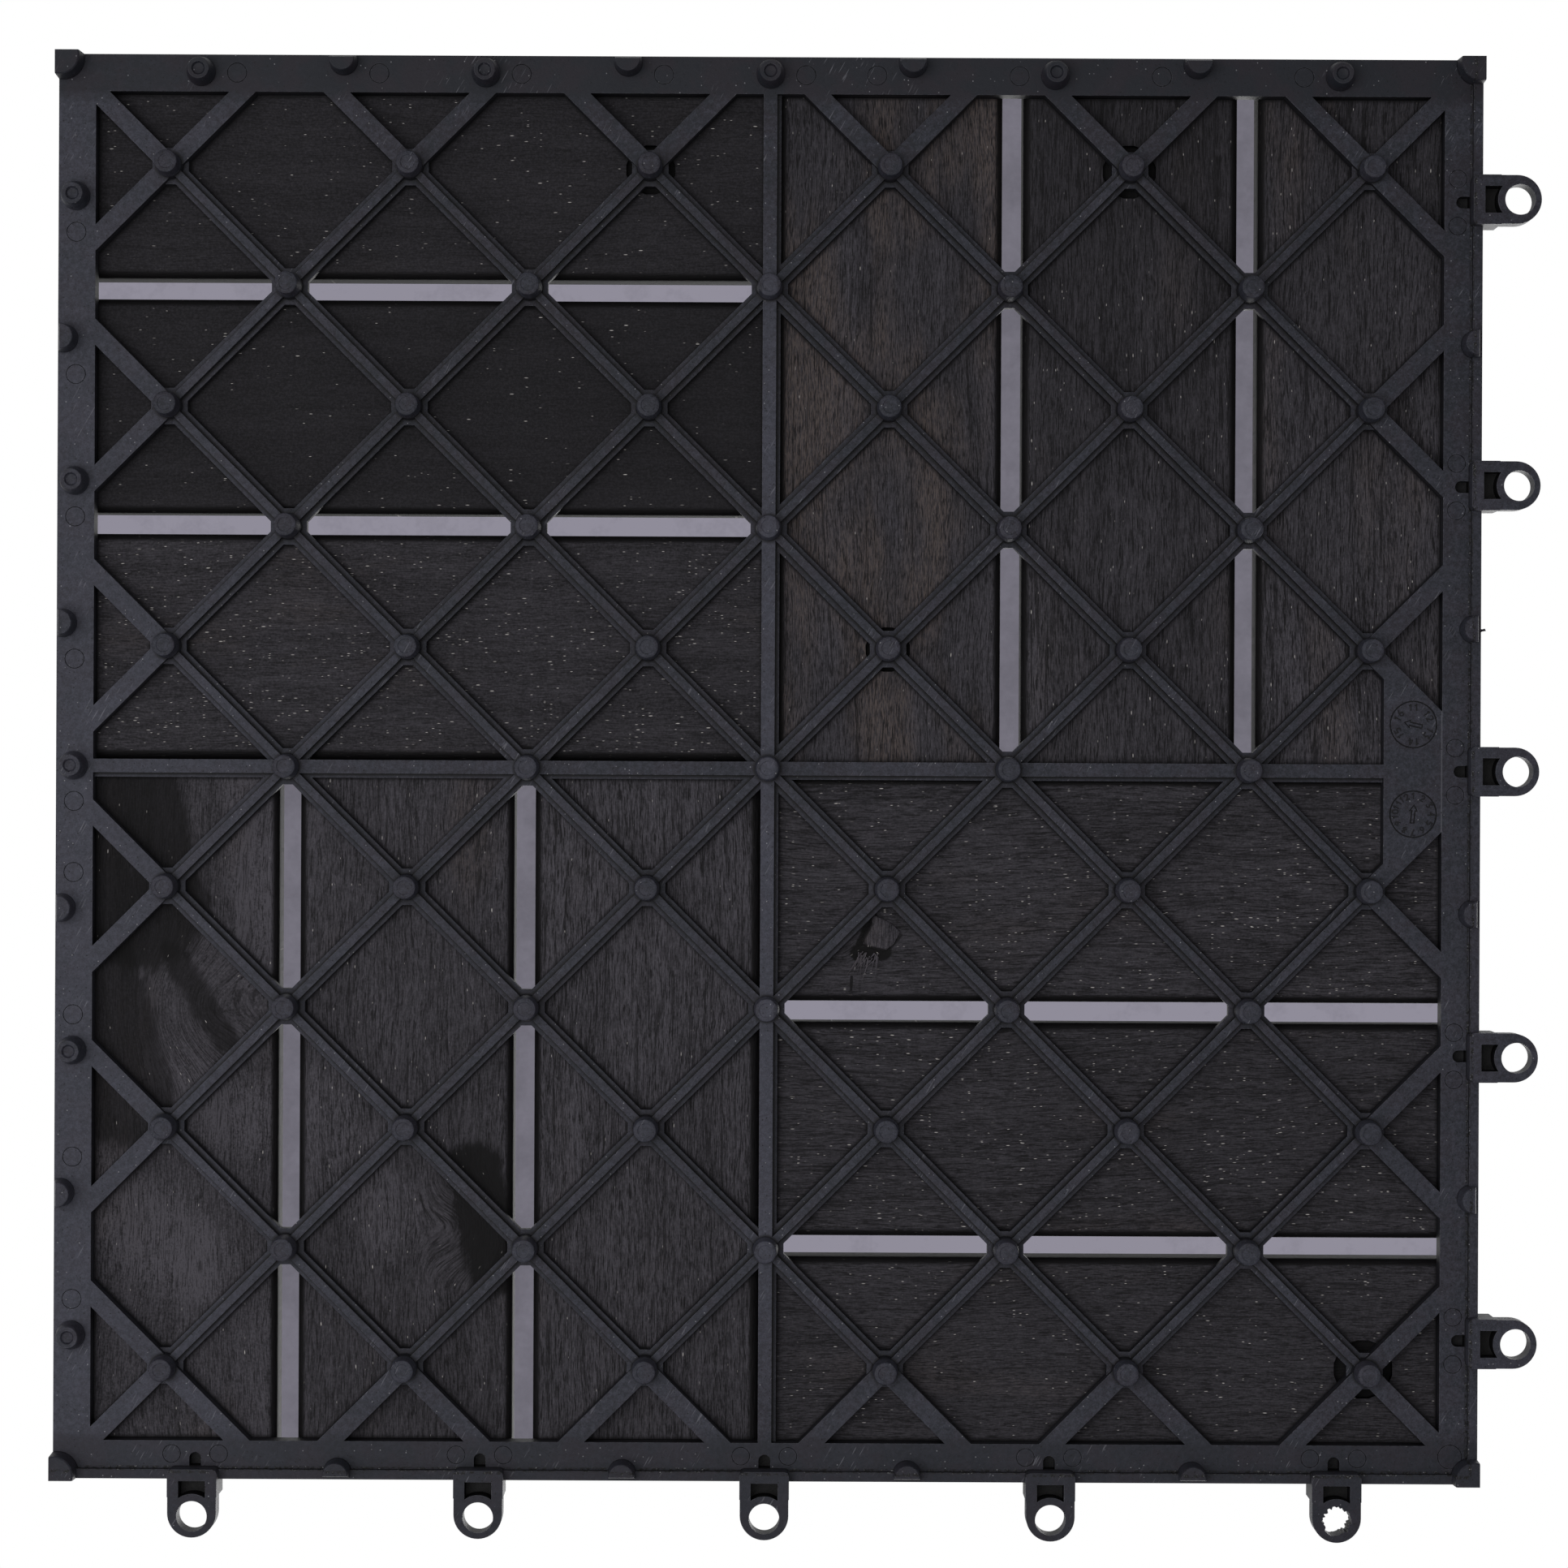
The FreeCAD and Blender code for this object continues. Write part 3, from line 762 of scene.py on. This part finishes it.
def turned_tree(name, inputs, stations, sides=32):
    """A geometry tree that turns a round stem, dish side down, at every point of its input.
    inputs is a list of (name, default); stations takes them as a dict and gives (radius, height) pairs."""
    group = bpy.data.node_groups.new(name, "GeometryNodeTree")
    group.interface.new_socket("Geometry", in_out="OUTPUT", socket_type="NodeSocketGeometry")
    group.interface.new_socket("Points", in_out="INPUT", socket_type="NodeSocketGeometry")
    for label, default in inputs:
        socket = group.interface.new_socket(label, in_out="INPUT", socket_type="NodeSocketFloat")
        socket.default_value = default
    skin = group.interface.new_socket("Material", in_out="INPUT", socket_type="NodeSocketMaterial")
    skin.default_value = plastic()
    tree = Tree(group)
    entry = tree.node("NodeGroupInput")
    rows = stations({label: entry.value(label) for label, _ in inputs})
    ring = tree.node("GeometryNodeMeshCircle", {"fill_type": "NGON"}, {"Vertices": sides, "Radius": 1.0}).out()
    place = tree.node("GeometryNodeInputPosition").out()
    flat = tree.node("ShaderNodeVectorMath", {"operation": "MULTIPLY"}, {0: place, 1: (1.0, 1.0, 0.0)}).out()
    ray = tree.node("ShaderNodeVectorMath", {"operation": "NORMALIZE"}, {0: flat}).out()

    def moved(mesh, selection, radius, height):
        spread = tree.node("ShaderNodeVectorMath", {"operation": "SCALE"}, {0: ray, "Scale": radius}).out()
        lift = tree.vector(0.0, 0.0, height)
        target = tree.node("ShaderNodeVectorMath", {"operation": "ADD"}, {0: spread, 1: lift}).out()
        sockets = {"Geometry": mesh, "Position": target}
        if selection is not None:
            sockets["Selection"] = selection
        return tree.node("GeometryNodeSetPosition", None, sockets).out()

    mesh = moved(ring, None, *rows[0])
    rim = None
    for radius, height in rows[1:]:
        sockets = {"Mesh": mesh, "Offset Scale": 0.0}
        if rim is not None:
            sockets["Selection"] = rim
        grown = tree.node("GeometryNodeExtrudeMesh", {"mode": "EDGES"}, sockets)
        rim = grown.out("Top")
        mesh = moved(grown.out("Mesh"), rim, radius, height)
    mesh = tree.node("GeometryNodeMergeByDistance", None, {"Geometry": mesh, "Distance": 2e-6}).out()
    spin = tree.node("FunctionNodeRandomValue", {"data_type": "FLOAT"}, {2: 0.0, 3: 6.283, "Seed": 11}).out(1)
    turn = tree.vector(0.0, 0.0, spin)
    placed = tree.node("GeometryNodeInstanceOnPoints", None,
                       {"Points": entry.out("Points"), "Instance": mesh, "Rotation": turn}).out()
    real = tree.node("GeometryNodeRealizeInstances", None, {0: placed}).out()
    dressed = tree.node("GeometryNodeSetMaterial", None,
                        {"Geometry": real, "Material": entry.out("Material")}).out()
    tree.node("NodeGroupOutput", None, {0: dressed})
    return group


def grown(name, places, group, values):
    """Runs a geometry tree on points and gives the result as a plain mesh."""
    data = bpy.data.meshes.new(name + "_points")
    data.from_pydata([(x * MM, y * MM, 0.0) for x, y in places], [], [])
    seed = bpy.data.objects.new(name + "_points", data)
    bpy.context.scene.collection.objects.link(seed)
    modifier = seed.modifiers.new("tree", "NODES")
    modifier.node_group = group
    for item in group.interface.items_tree:
        if item.in_out == "INPUT" and item.name in values:
            modifier[item.identifier] = values[item.name]
    shown = seed.evaluated_get(bpy.context.evaluated_depsgraph_get())
    result = bpy.data.meshes.new_from_object(shown)
    result.name = name
    seed.modifiers.clear()
    bpy.data.objects.remove(seed)
    outward(result)
    smoothed(result)
    return result


class TILE_OT_feet(bpy.types.Operator):
    """Set a round foot under every crossing of the ribs"""
    bl_idname = "tile.feet"
    bl_label = "Lattice feet"

    def execute(self, context):
        n = base_numbers()
        sizes = context.scene.tile_foot
        values = {"Tip radius": sizes.tip_radius, "Root radius": sizes.root_radius, "Edge": sizes.edge,
                  "Ring radius": sizes.ring_radius, "Ring depth": sizes.ring_depth,
                  "Root height": (n["flange_under"] + 0.3) * MM}

        def stations(v):
            return [(v["Root radius"], v["Root height"]),
                    (v["Tip radius"] + 0.00001, v["Edge"]),
                    (v["Tip radius"] - v["Edge"] * 0.35, v["Edge"] * 0.3),
                    (v["Tip radius"] - v["Edge"], 0.0),
                    (v["Ring radius"], 0.0),
                    (v["Ring radius"] - 0.00015, v["Ring depth"]),
                    (1e-7, v["Ring depth"] * 0.7)]

        group = turned_tree("foot_tree", list(values.items()), stations)
        places = [(column * n["step"], row * n["step"]) for column, row in node_places(n)]
        data = grown("lattice_feet", places, group, values)
        add_piece("lattice_feet", data, plastic())
        return {"FINISHED"}


class TILE_OT_rim_feet(bpy.types.Operator):
    """Set the half-round feet along the rim and the feet at its corners"""
    bl_idname = "tile.rim_feet"
    bl_label = "Rim feet"

    def execute(self, context):
        n = base_numbers()
        half = n["half"]
        mesh = bmesh.new()
        centre = half - 1.3
        levels = [(2.5, 0.0, 0.05), (2.7, 0.22, 0.12), (3.05, n["band_under"] + 0.5, 1.3)]
        pitch = context.scene.tile_loop.pitch / MM / 2
        for k in (-3, -1, 1, 3):
            for quarter in range(4):
                middle = k * pitch
                rings = []
                for radius, z, reach in levels:
                    flat = math.acos(reach / radius)
                    arc = [flat + (2 * math.pi - 2 * flat) * j / 20 for j in range(21)]
                    rings.append(([(centre + radius * math.cos(a), middle + radius * math.sin(a)) for a in arc], z))
                for turn in range(quarter):
                    rings = [([(-y, x) for x, y in points], z) for points, z in rings]
                add_loft(mesh, rings)
        nib = 0.2 - pitch
        add_loft(mesh, [([(half - 0.4, nib - w), (half + 0.5, nib - 0.24), (half + 1.1, nib - 0.42), (half + 1.35, nib + 0.1),
                          (half + 0.5, nib + 0.24), (half - 0.4, nib + w)], n["band_under"] + h)
                        for w, h in ((0.6, 0.2), (0.9, 0.7))])
        levels = [(3.75, 0.0), (4.05, 0.25), (4.4, n["band_under"] + 0.5)]
        for quarter in range(4):
            rings = []
            for radius, z in levels:
                edge = math.acos(1.05 / radius)
                first = math.pi / 2 + edge
                sweep = 1.5 * math.pi - 2 * edge
                centre = half - 1.05
                points = [(half, half)]
                angles = [first + sweep * k / 20 for k in range(21)]
                points += [(centre + radius * math.cos(a), centre + radius * math.sin(a)) for a in angles]
                for turn in range(quarter):
                    points = [(-y, x) for x, y in points]
                rings.append((points, z))
            add_loft(mesh, rings)
        data = finished_mesh("rim_feet", mesh)
        outward(data)
        smoothed(data)
        add_piece("rim_feet", data, plastic())
        return {"FINISHED"}


class TILE_OT_pegs(bpy.types.Operator):
    """Set the pegs along the two peg sides"""
    bl_idname = "tile.pegs"
    bl_label = "Pegs"

    def execute(self, context):
        n = base_numbers()
        sizes = context.scene.tile_foot
        values = {"Tip radius": sizes.peg_tip_radius, "Root radius": sizes.peg_root_radius,
                  "Lift": sizes.peg_lift, "Root height": (n["band_under"] + 0.3) * MM,
                  "Dish radius": sizes.peg_dish_radius, "Dish depth": sizes.peg_dish_depth}

        def stations(v):
            return [(v["Root radius"], v["Root height"]),
                    (v["Root radius"], v["Root height"] - 0.0018),
                    (v["Tip radius"] + 0.00003, v["Lift"] + 0.0003),
                    (v["Tip radius"] - 0.00022, v["Lift"]),
                    (v["Dish radius"] + 0.0001, v["Lift"] + 0.00003),
                    (v["Dish radius"] * 0.8, v["Lift"] + v["Dish depth"] * 0.75),
                    (1e-7, v["Lift"] + v["Dish depth"])]

        group = turned_tree("peg_tree", list(values.items()), stations)
        line = -n["half"] + sizes.peg_inset / MM
        places = [(line, y) for y in loop_offsets()] + [(x, line) for x in loop_offsets()]
        data = grown("pegs", places, group, values)
        add_piece("pegs", data, plastic())
        return {"FINISHED"}


def loop_shapes(n, s, y, worn):
    """Outlines of one loop on the +X side."""
    half = n["half"]
    bore_x = half + s["reach"]
    nose_x = bore_x - s["nose_shift"]
    x0, x1 = half - s["block_inset"], half + s["block_reach"]
    wide = s["outer_radius"] + 0.1
    block = [(x0 + 0.9, y - wide), (x1, y - wide), (x1, y + wide), (x0 + 0.9, y + wide),
             (x0 + 0.26, y + wide - 0.26), (x0, y + wide - 0.9), (x0, y - wide + 0.9), (x0 + 0.26, y - wide + 0.26)]
    guard = s["bore_radius"] + 1.5
    bulge = [(bore_x - guard * math.cos(a), y + guard * math.sin(a))
             for a in [math.radians(-37 + 74 * k / 12) for k in range(13)]]
    pocket = [(x0 + 2.4, y - 2.85)] + [(min(px, bore_x), max(y - 2.85, min(y + 2.85, py))) for px, py in bulge]
    pocket += [(x0 + 2.4, y + 2.85)]
    hole = disc(bore_x, y, s["bore_radius"], 48)
    if worn:
        rough = random.Random(5)
        hole = [(bore_x + (px - bore_x) * r, y + (py - y) * r)
                for px, py in hole for r in (1.0 - 0.22 * rough.random() ** 2,)]
    return [
        (block, "add", s["lift"], n["base_top"]),
        (rectangle(x1 - 1.0, y - s["outer_radius"], nose_x, y + s["outer_radius"]), "add", s["lift"], s["ring_top"]),
        (disc(nose_x, y, s["outer_radius"], 48), "add", s["lift"], s["ring_top"]),
        (pocket, "set", 5.8, 0),
        (hole, "hole", 0, 0),
    ]


class TILE_OT_loops(bpy.types.Operator):
    """Build the loops along the two loop sides"""
    bl_idname = "tile.loops"
    bl_label = "Loops"

    def execute(self, context):
        n = base_numbers()
        sizes = context.scene.tile_loop
        s = {key: getattr(sizes, key) / MM for key in sizes.__annotations__ if key != "count"}
        for side in "xy":
            for k, offset in enumerate(loop_offsets()):
                worn = side == "y" and k == len(loop_offsets()) - 1
                shapes = loop_shapes(n, s, offset, worn)
                if side == "y":
                    shapes = [(swapped(points), rule, low, high) for points, rule, low, high in shapes]
                name = "loop_%s%d" % (side, k + 1)
                add_piece(name, stepped_mesh(name, shapes), plastic("loop_plastic", True))
        return {"FINISHED"}


DIGITS = {
    "0": ((0.0, 0.2), (0.0, 0.8), (0.15, 1.0), (0.45, 1.0), (0.6, 0.8), (0.6, 0.2), (0.45, 0.0), (0.15, 0.0),
          (0.0, 0.2)),
    "1": ((0.05, 0.75), (0.3, 1.0), (0.3, 0.0)),
    "2": ((0.0, 0.8), (0.15, 1.0), (0.45, 1.0), (0.6, 0.8), (0.55, 0.55), (0.0, 0.0), (0.6, 0.0)),
    "3": ((0.0, 1.0), (0.6, 1.0), (0.25, 0.6), (0.6, 0.35), (0.45, 0.0), (0.1, 0.0), (0.0, 0.1)),
    "4": ((0.45, 0.0), (0.45, 1.0), (0.0, 0.3), (0.6, 0.3)),
    "5": ((0.55, 1.0), (0.05, 1.0), (0.0, 0.55), (0.4, 0.6), (0.6, 0.35), (0.4, 0.0), (0.0, 0.05)),
    "6": ((0.5, 1.0), (0.1, 0.6), (0.0, 0.3), (0.15, 0.0), (0.45, 0.0), (0.6, 0.3), (0.4, 0.55), (0.1, 0.5)),
    "7": ((0.0, 1.0), (0.6, 1.0), (0.2, 0.0)),
    "8": ((0.3, 0.55), (0.05, 0.8), (0.3, 1.0), (0.55, 0.8), (0.3, 0.55), (0.0, 0.25), (0.3, 0.0), (0.6, 0.25),
          (0.3, 0.55)),
    "9": ((0.1, 0.0), (0.5, 0.4), (0.6, 0.7), (0.3, 1.0), (0.0, 0.7), (0.2, 0.45), (0.5, 0.5)),
}


def number_bars(number, x, y, angle, height, width):
    """The strokes of a number whose middle is at x, y and whose top points along the angle, read from below."""
    up = Vector((math.cos(angle), math.sin(angle)))
    right = Vector((-up.y, up.x))
    wide = 0.9 * len(number) - 0.3
    bars = []
    for place, digit in enumerate(number):
        corners = [Vector((x, y)) + (right * (px + 0.9 * place - wide / 2) + up * (py - 0.5)) * height
                   for px, py in DIGITS[digit]]
        for a, b in zip(corners, corners[1:]):
            end = (b - a).normalized() * width * 0.3
            bars.append(flat_bar(*(a - end), *(b + end), width))
    return bars


class TILE_OT_dial_numbers(bpy.types.Operator):
    """Set plain numbers round the two date dials"""
    bl_idname = "tile.dial_numbers"
    bl_label = "Dial numbers"

    def execute(self, context):
        n = base_numbers()
        x = n["inner"] - 6.05
        shapes = []
        for y, count, ring, height, first in ((-9.9, 6, 3.6, 1.35, 11), (9.0, 12, 3.85, 1.2, 1)):
            for k in range(count):
                angle = math.radians(-90 + 360 * k / count)
                px, py = x + ring * math.cos(angle), y + ring * math.sin(angle)
                for bar in number_bars(str(k + first), px, py, angle, height, 0.22):
                    shapes.append((bar, "add", n["band_under"] - 0.16, n["band_under"] + 0.2))
        data = stepped_mesh("dial_numbers", shapes)
        add_piece("dial_numbers", data, plastic())
        return {"FINISHED"}


class TILE_OT_chip(bpy.types.Operator):
    """Lay the torn plug and its splinters on the first slat"""
    bl_idname = "tile.chip"
    bl_label = "Torn plug"

    def execute(self, context):
        face = base_numbers()["base_top"]
        whole = bmesh.new()
        chance = random.Random(8)
        corners = [(22.6, 30.9), (26.2, 32.6), (28.2, 34.4), (26.9, 37.0), (24.9, 38.6), (20.6, 37.4), (20.0, 36.2),
                   (21.4, 33.4)]
        middle = Vector((24.0, 35.0))
        inset = [tuple(middle + (Vector(point) - middle) * 0.86) for point in corners]
        add_loft(whole, [(inset, face - 0.9), (corners, face - 0.6), (corners, face + 0.2)])
        pale = bmesh.new()
        for k in range(30):
            start = Vector((chance.uniform(19.0, 23.6), chance.uniform(38.6, 40.6)))
            turn = math.radians(chance.uniform(85, 140))
            span = chance.uniform(1.5, 5.0)
            along = Vector((math.cos(turn), math.sin(turn)))
            across = Vector((-along.y, along.x)) * chance.uniform(0.08, 0.18)
            tip = start + along * span
            low = face - chance.uniform(0.2, 0.9)
            spike = [tuple(start - across), tuple(start + across), tuple(tip)]
            add_loft(pale, [(spike, low), (spike, low + 0.18)])
        plain = {"brown": 0.4, "tone": 1.15, "fade": 0.0, "flecks": 0.2, "sharp": 0.8, "cracks": 0.6, "sway": 4.0,
                 "knots": [], "lights": [], "strokes": []}
        # The plug's strokes are painted shade along its edges by the torn hole.
        torn = dict(plain, strokes=[((20.0, 36.2), (21.6, 32.8), 0.8, 0.9, 0.9), ((20.4, 37.6), (24.8, 38.8), 0.5, 0.8, 0.9)])
        for name, mesh, look in (("torn_plug", whole, torn), ("splinters", pale, dict(plain, tone=3.2, cracks=0.1))):
            data = finished_mesh(name, mesh)
            outward(data)
            smoothed(data)
            add_piece(name, data, stained_wood("wood_of_" + name, look, True, 40, (0.0, 50.0)))
        return {"FINISHED"}


class TILE_OT_slats(bpy.types.Operator):
    """Stain the twelve slats, each with grain of its own"""
    bl_idname = "tile.slats"
    bl_label = "Slats"

    def execute(self, context):
        fields = ("brown", "tone", "fade", "flecks", "sharp", "cracks", "sway")
        looks = {
            "a1": (0.20, 0.82, 0.0, 0.9, 0.80, 0.7, 5.0), "a2": (0.30, 0.70, 0.1, 0.8, 0.85, 0.7, 8.0),
            "a3": (0.20, 0.68, 0.0, 0.5, 0.80, 0.7, 8.0), "b1": (0.25, 1.05, 0.3, 0.1, 0.95, 0.8, 6.0),
            "b2": (0.35, 0.92, 0.2, 0.2, 0.85, 0.7, 12.0), "b3": (0.40, 1.10, -0.2, 0.1, 0.70, 0.6, 12.0),
            "c1": (0.25, 0.72, -0.2, 1.1, 0.60, 0.5, 5.0), "c2": (0.05, 0.27, -0.3, 0.3, 0.25, 0.3, 6.0),
            "c3": (0.08, 0.38, 0.0, 0.4, 0.40, 0.4, 6.0), "d1": (0.80, 0.82, 0.3, 0.1, 0.95, 0.8, 8.0),
            "d2": (0.20, 0.63, 0.8, 0.2, 0.95, 0.8, 4.0), "d3": (0.40, 0.88, 0.7, 0.2, 0.95, 0.8, 5.0),
        }
        knots = {
            "a1": [(21.0, 37.0, 6.0, 2.5)],
            "b2": [(-62.0, 98.0, 14.0, -8.0)],
            "b3": [(-121.0, 51.0, 20.0, 10.0)],
        }
        strokes = {
            # On a1 the first stroke paints the black shade in the torn hole's mouth and the second a painted shadow
            # beside the plug.
            "a1": [((19.6, 38.9), (24.6, 38.7), 2.6, 1.2, 1.0), ((19.8, 36.8), (22.4, 31.0), 1.1, 0.8, 1.0),
                   ((25.2, 39.0), (28.4, 35.2), 0.3, 0.5, 0.7), ((18.0, 44.0), (17.9, 46.8), 0.25, 0.3, 0.9)],
            "b2": [((-62.0, 86.0), (-57.0, 106.0), 7.0, 6.0, 0.93)],
            "b3": [((-137.0, 8.0), (-132.0, 30.0), 20.0, 7.0, 0.82), ((-126.0, 40.0), (-114.5, 58.5), 1.0, 4.5, 0.75),
                   ((-142.0, 44.0), (-134.0, 72.0), 12.0, 7.0, 0.72),
                   ((-101.2, 3.0), (-101.0, 26.0), 2.6, 1.2, 0.9)],
        }
        lights = {
            "b2": [((-96.0, 70.0), (-80.0, 96.0), 6.0, 8.0, 0.5)],
            "b3": [((-110.0, 2.0), (-107.5, 42.0), 6.0, 4.0, 0.8), ((-130.0, 68.0), (-110.0, 74.0), 6.0, 8.0, 0.7),
                   ((-141.0, 92.0), (-122.0, 104.0), 8.0, 8.0, 0.8)],
            "d1": [((12.0, -30.0), (14.0, -110.0), 5.0, 5.0, 0.3)],
            "d2": [((53.0, -8.0), (55.0, -50.0), 5.0, 5.0, 0.4)],
        }
        for seed, (key, values) in enumerate(looks.items()):
            look = dict(zip(fields, values), knots=knots.get(key, []), strokes=strokes.get(key, []),
                        lights=lights.get(key, []))
            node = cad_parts["slat_" + key]
            upright = key[0] in "bd"
            side = [abs(v.co[0 if upright else 1]) / MM for v in node.data.vertices]
            wood = stained_wood("stained_wood_" + key, look, upright, seed + 1, (min(side), max(side)))
            node.data.materials.clear()
            node.data.materials.append(wood)
        return {"FINISHED"}


def background_rays(tree):
    """1 for the rays that see the background: straight, mirrored and through glass."""
    path = tree.node("ShaderNodeLightPath")
    return path.value("Is Camera Ray").most(path.value("Is Glossy Ray")).most(path.value("Is Transmission Ray"))


def one_sided(tree, surface):
    """Finishes a material that shows only from its front."""
    clear = tree.node("ShaderNodeBsdfTransparent")
    back = tree.node("ShaderNodeNewGeometry").out("Backfacing")
    both = tree.node("ShaderNodeMixShader", None, {0: back, 1: surface.out(), 2: clear.out()})
    tree.node("ShaderNodeOutputMaterial", None, {"Surface": both.out()})


def floor_material():
    material, tree = new_material("floor")
    one_sided(tree, tree.node("ShaderNodeBsdfDiffuse", None, {"Color": (0.8, 0.8, 0.8, 1.0)}))
    return material


def backdrop_material():
    """White paper, with painted shade on the paper that shows through the drain slots."""
    finish = bpy.context.scene.tile_finish
    material, tree = new_material("backdrop")
    place, x, y, z = millimetres(tree)
    covered = x.size().step(147.6, 147.2) * y.size().step(147.6, 147.2)
    # Painted shade: the paper behind the upright slots is darker still.
    upright = (x * y).step(1.0, -1.0)
    blots = tree.noise(place, 0.11, 3.0, 0.6).step(0.35, 0.65) * 0.16
    mottle = blots + tree.noise(place, 0.7, 3.0, 0.65) * 0.26 + 0.80
    level = (1.0 - upright * (1.0 - finish.paper_shade)) * mottle
    dim = tree.mix(1.0 - level, tuple(finish.paper), (0.0, 0.0, 0.0))
    shade = tree.mix(covered, (1.0, 1.0, 1.0), dim)
    one_sided(tree, tree.node("ShaderNodeEmission", None, {"Color": shade, "Strength": 1.0}))
    return material


class TILE_OT_stage(bpy.types.Operator):
    """Set the floor, the backdrop, the lamps, the sky and the camera"""
    bl_idname = "tile.stage"
    bl_label = "Stage"

    def execute(self, context):
        light = context.scene.tile_light
        reach = 3.0
        for name, height, up, material in (("floor", -0.0001, True, floor_material()),
                                           ("backdrop", 0.0243, False, backdrop_material())):
            data = bpy.data.meshes.new(name)
            corners = [(-reach, -reach, height), (reach, -reach, height), (reach, reach, height), (-reach, reach, height)]
            data.from_pydata(corners, [], [(0, 1, 2, 3) if up else (3, 2, 1, 0)])
            data.materials.append(material)
            sheet = bpy.data.objects.new(name, data)
            context.scene.collection.objects.link(sheet)
            sheet.visible_shadow = False
            sheet.visible_diffuse = False
            sheet.visible_glossy = False
        world = bpy.data.worlds.new("studio")
        world.use_nodes = True
        world.node_tree.nodes.clear()
        tree = Tree(world.node_tree)
        strength = background_rays(tree) * (1.0 - light.sky) + light.sky
        sky = tree.node("ShaderNodeBackground", None, {"Color": (1.0, 1.0, 1.0, 1.0), "Strength": strength})
        tree.node("ShaderNodeOutputWorld", None, {"Surface": sky.out()})
        context.scene.world = world
        lamps = [("front_lamp", (-0.30, 0.02, -1.3), light.front, 0.8),
                 ("side_lamp", (-0.85, 0.05, -0.45), light.side, 0.5),
                 ("top_lamp", (0.5, 0.4, 1.3), light.top, 0.9)]
        for name, place, power, size in lamps:
            lamp = bpy.data.lights.new(name, "AREA")
            lamp.energy = power
            lamp.shape = "SQUARE"
            lamp.size = size
            holder = bpy.data.objects.new(name, lamp)
            holder.location = place
            holder.rotation_euler = Vector(place).to_track_quat("Z", "Y").to_euler()
            context.scene.collection.objects.link(holder)
        eye = bpy.data.cameras.new("camera")
        eye.sensor_width = 36.0
        eye.lens = 112.88
        holder = bpy.data.objects.new("camera", eye)
        lean = 0.00464
        right = Vector((1.0, -lean, 0.0)).normalized()
        up = Vector((-lean, -1.0, 0.0)).normalized()
        back = right.cross(up)
        turn = Matrix((right, up, back)).transposed().to_4x4()
        holder.matrix_world = Matrix.Translation((0.003485, 0.003244, -1.030)) @ turn
        context.scene.collection.objects.link(holder)
        context.scene.camera = holder
        context.scene.view_settings.view_transform = "Standard"
        return {"FINISHED"}


OPERATORS = (TILE_OT_base, TILE_OT_feet, TILE_OT_rim_feet, TILE_OT_pegs, TILE_OT_loops,
             TILE_OT_dial_numbers, TILE_OT_slats, TILE_OT_chip, TILE_OT_stage)
GROUPS = {"tile_base": TileBaseSizes, "tile_foot": TileFootSizes, "tile_loop": TileLoopSizes,
          "tile_finish": TileFinish, "tile_light": TileLight}


class TILE_PT_panel(bpy.types.Panel):
    """Lists the steps that build the deck tile"""
    bl_idname = "TILE_PT_panel"
    bl_label = "Deck tile"
    bl_space_type = "VIEW_3D"
    bl_region_type = "UI"
    bl_category = "Deck tile"

    def draw(self, context):
        for operator in OPERATORS:
            self.layout.operator(operator.bl_idname)
        for key, group in GROUPS.items():
            box = self.layout.box()
            for prop in group.__annotations__:
                box.prop(getattr(context.scene, key), prop)


def register():
    for item in tuple(GROUPS.values()) + OPERATORS + (TILE_PT_panel,):
        bpy.utils.register_class(item)
    for key, group in GROUPS.items():
        setattr(bpy.types.Scene, key, PointerProperty(type=group))


def unregister():
    for key in GROUPS:
        delattr(bpy.types.Scene, key)
    for item in reversed(tuple(GROUPS.values()) + OPERATORS + (TILE_PT_panel,)):
        bpy.utils.unregister_class(item)


def main():
    register()
    for operator in OPERATORS:
        family, name = operator.bl_idname.split(".")
        getattr(getattr(bpy.ops, family), name)()
    bpy.context.view_layer.update()


if __name__ == "__main__":
    main()
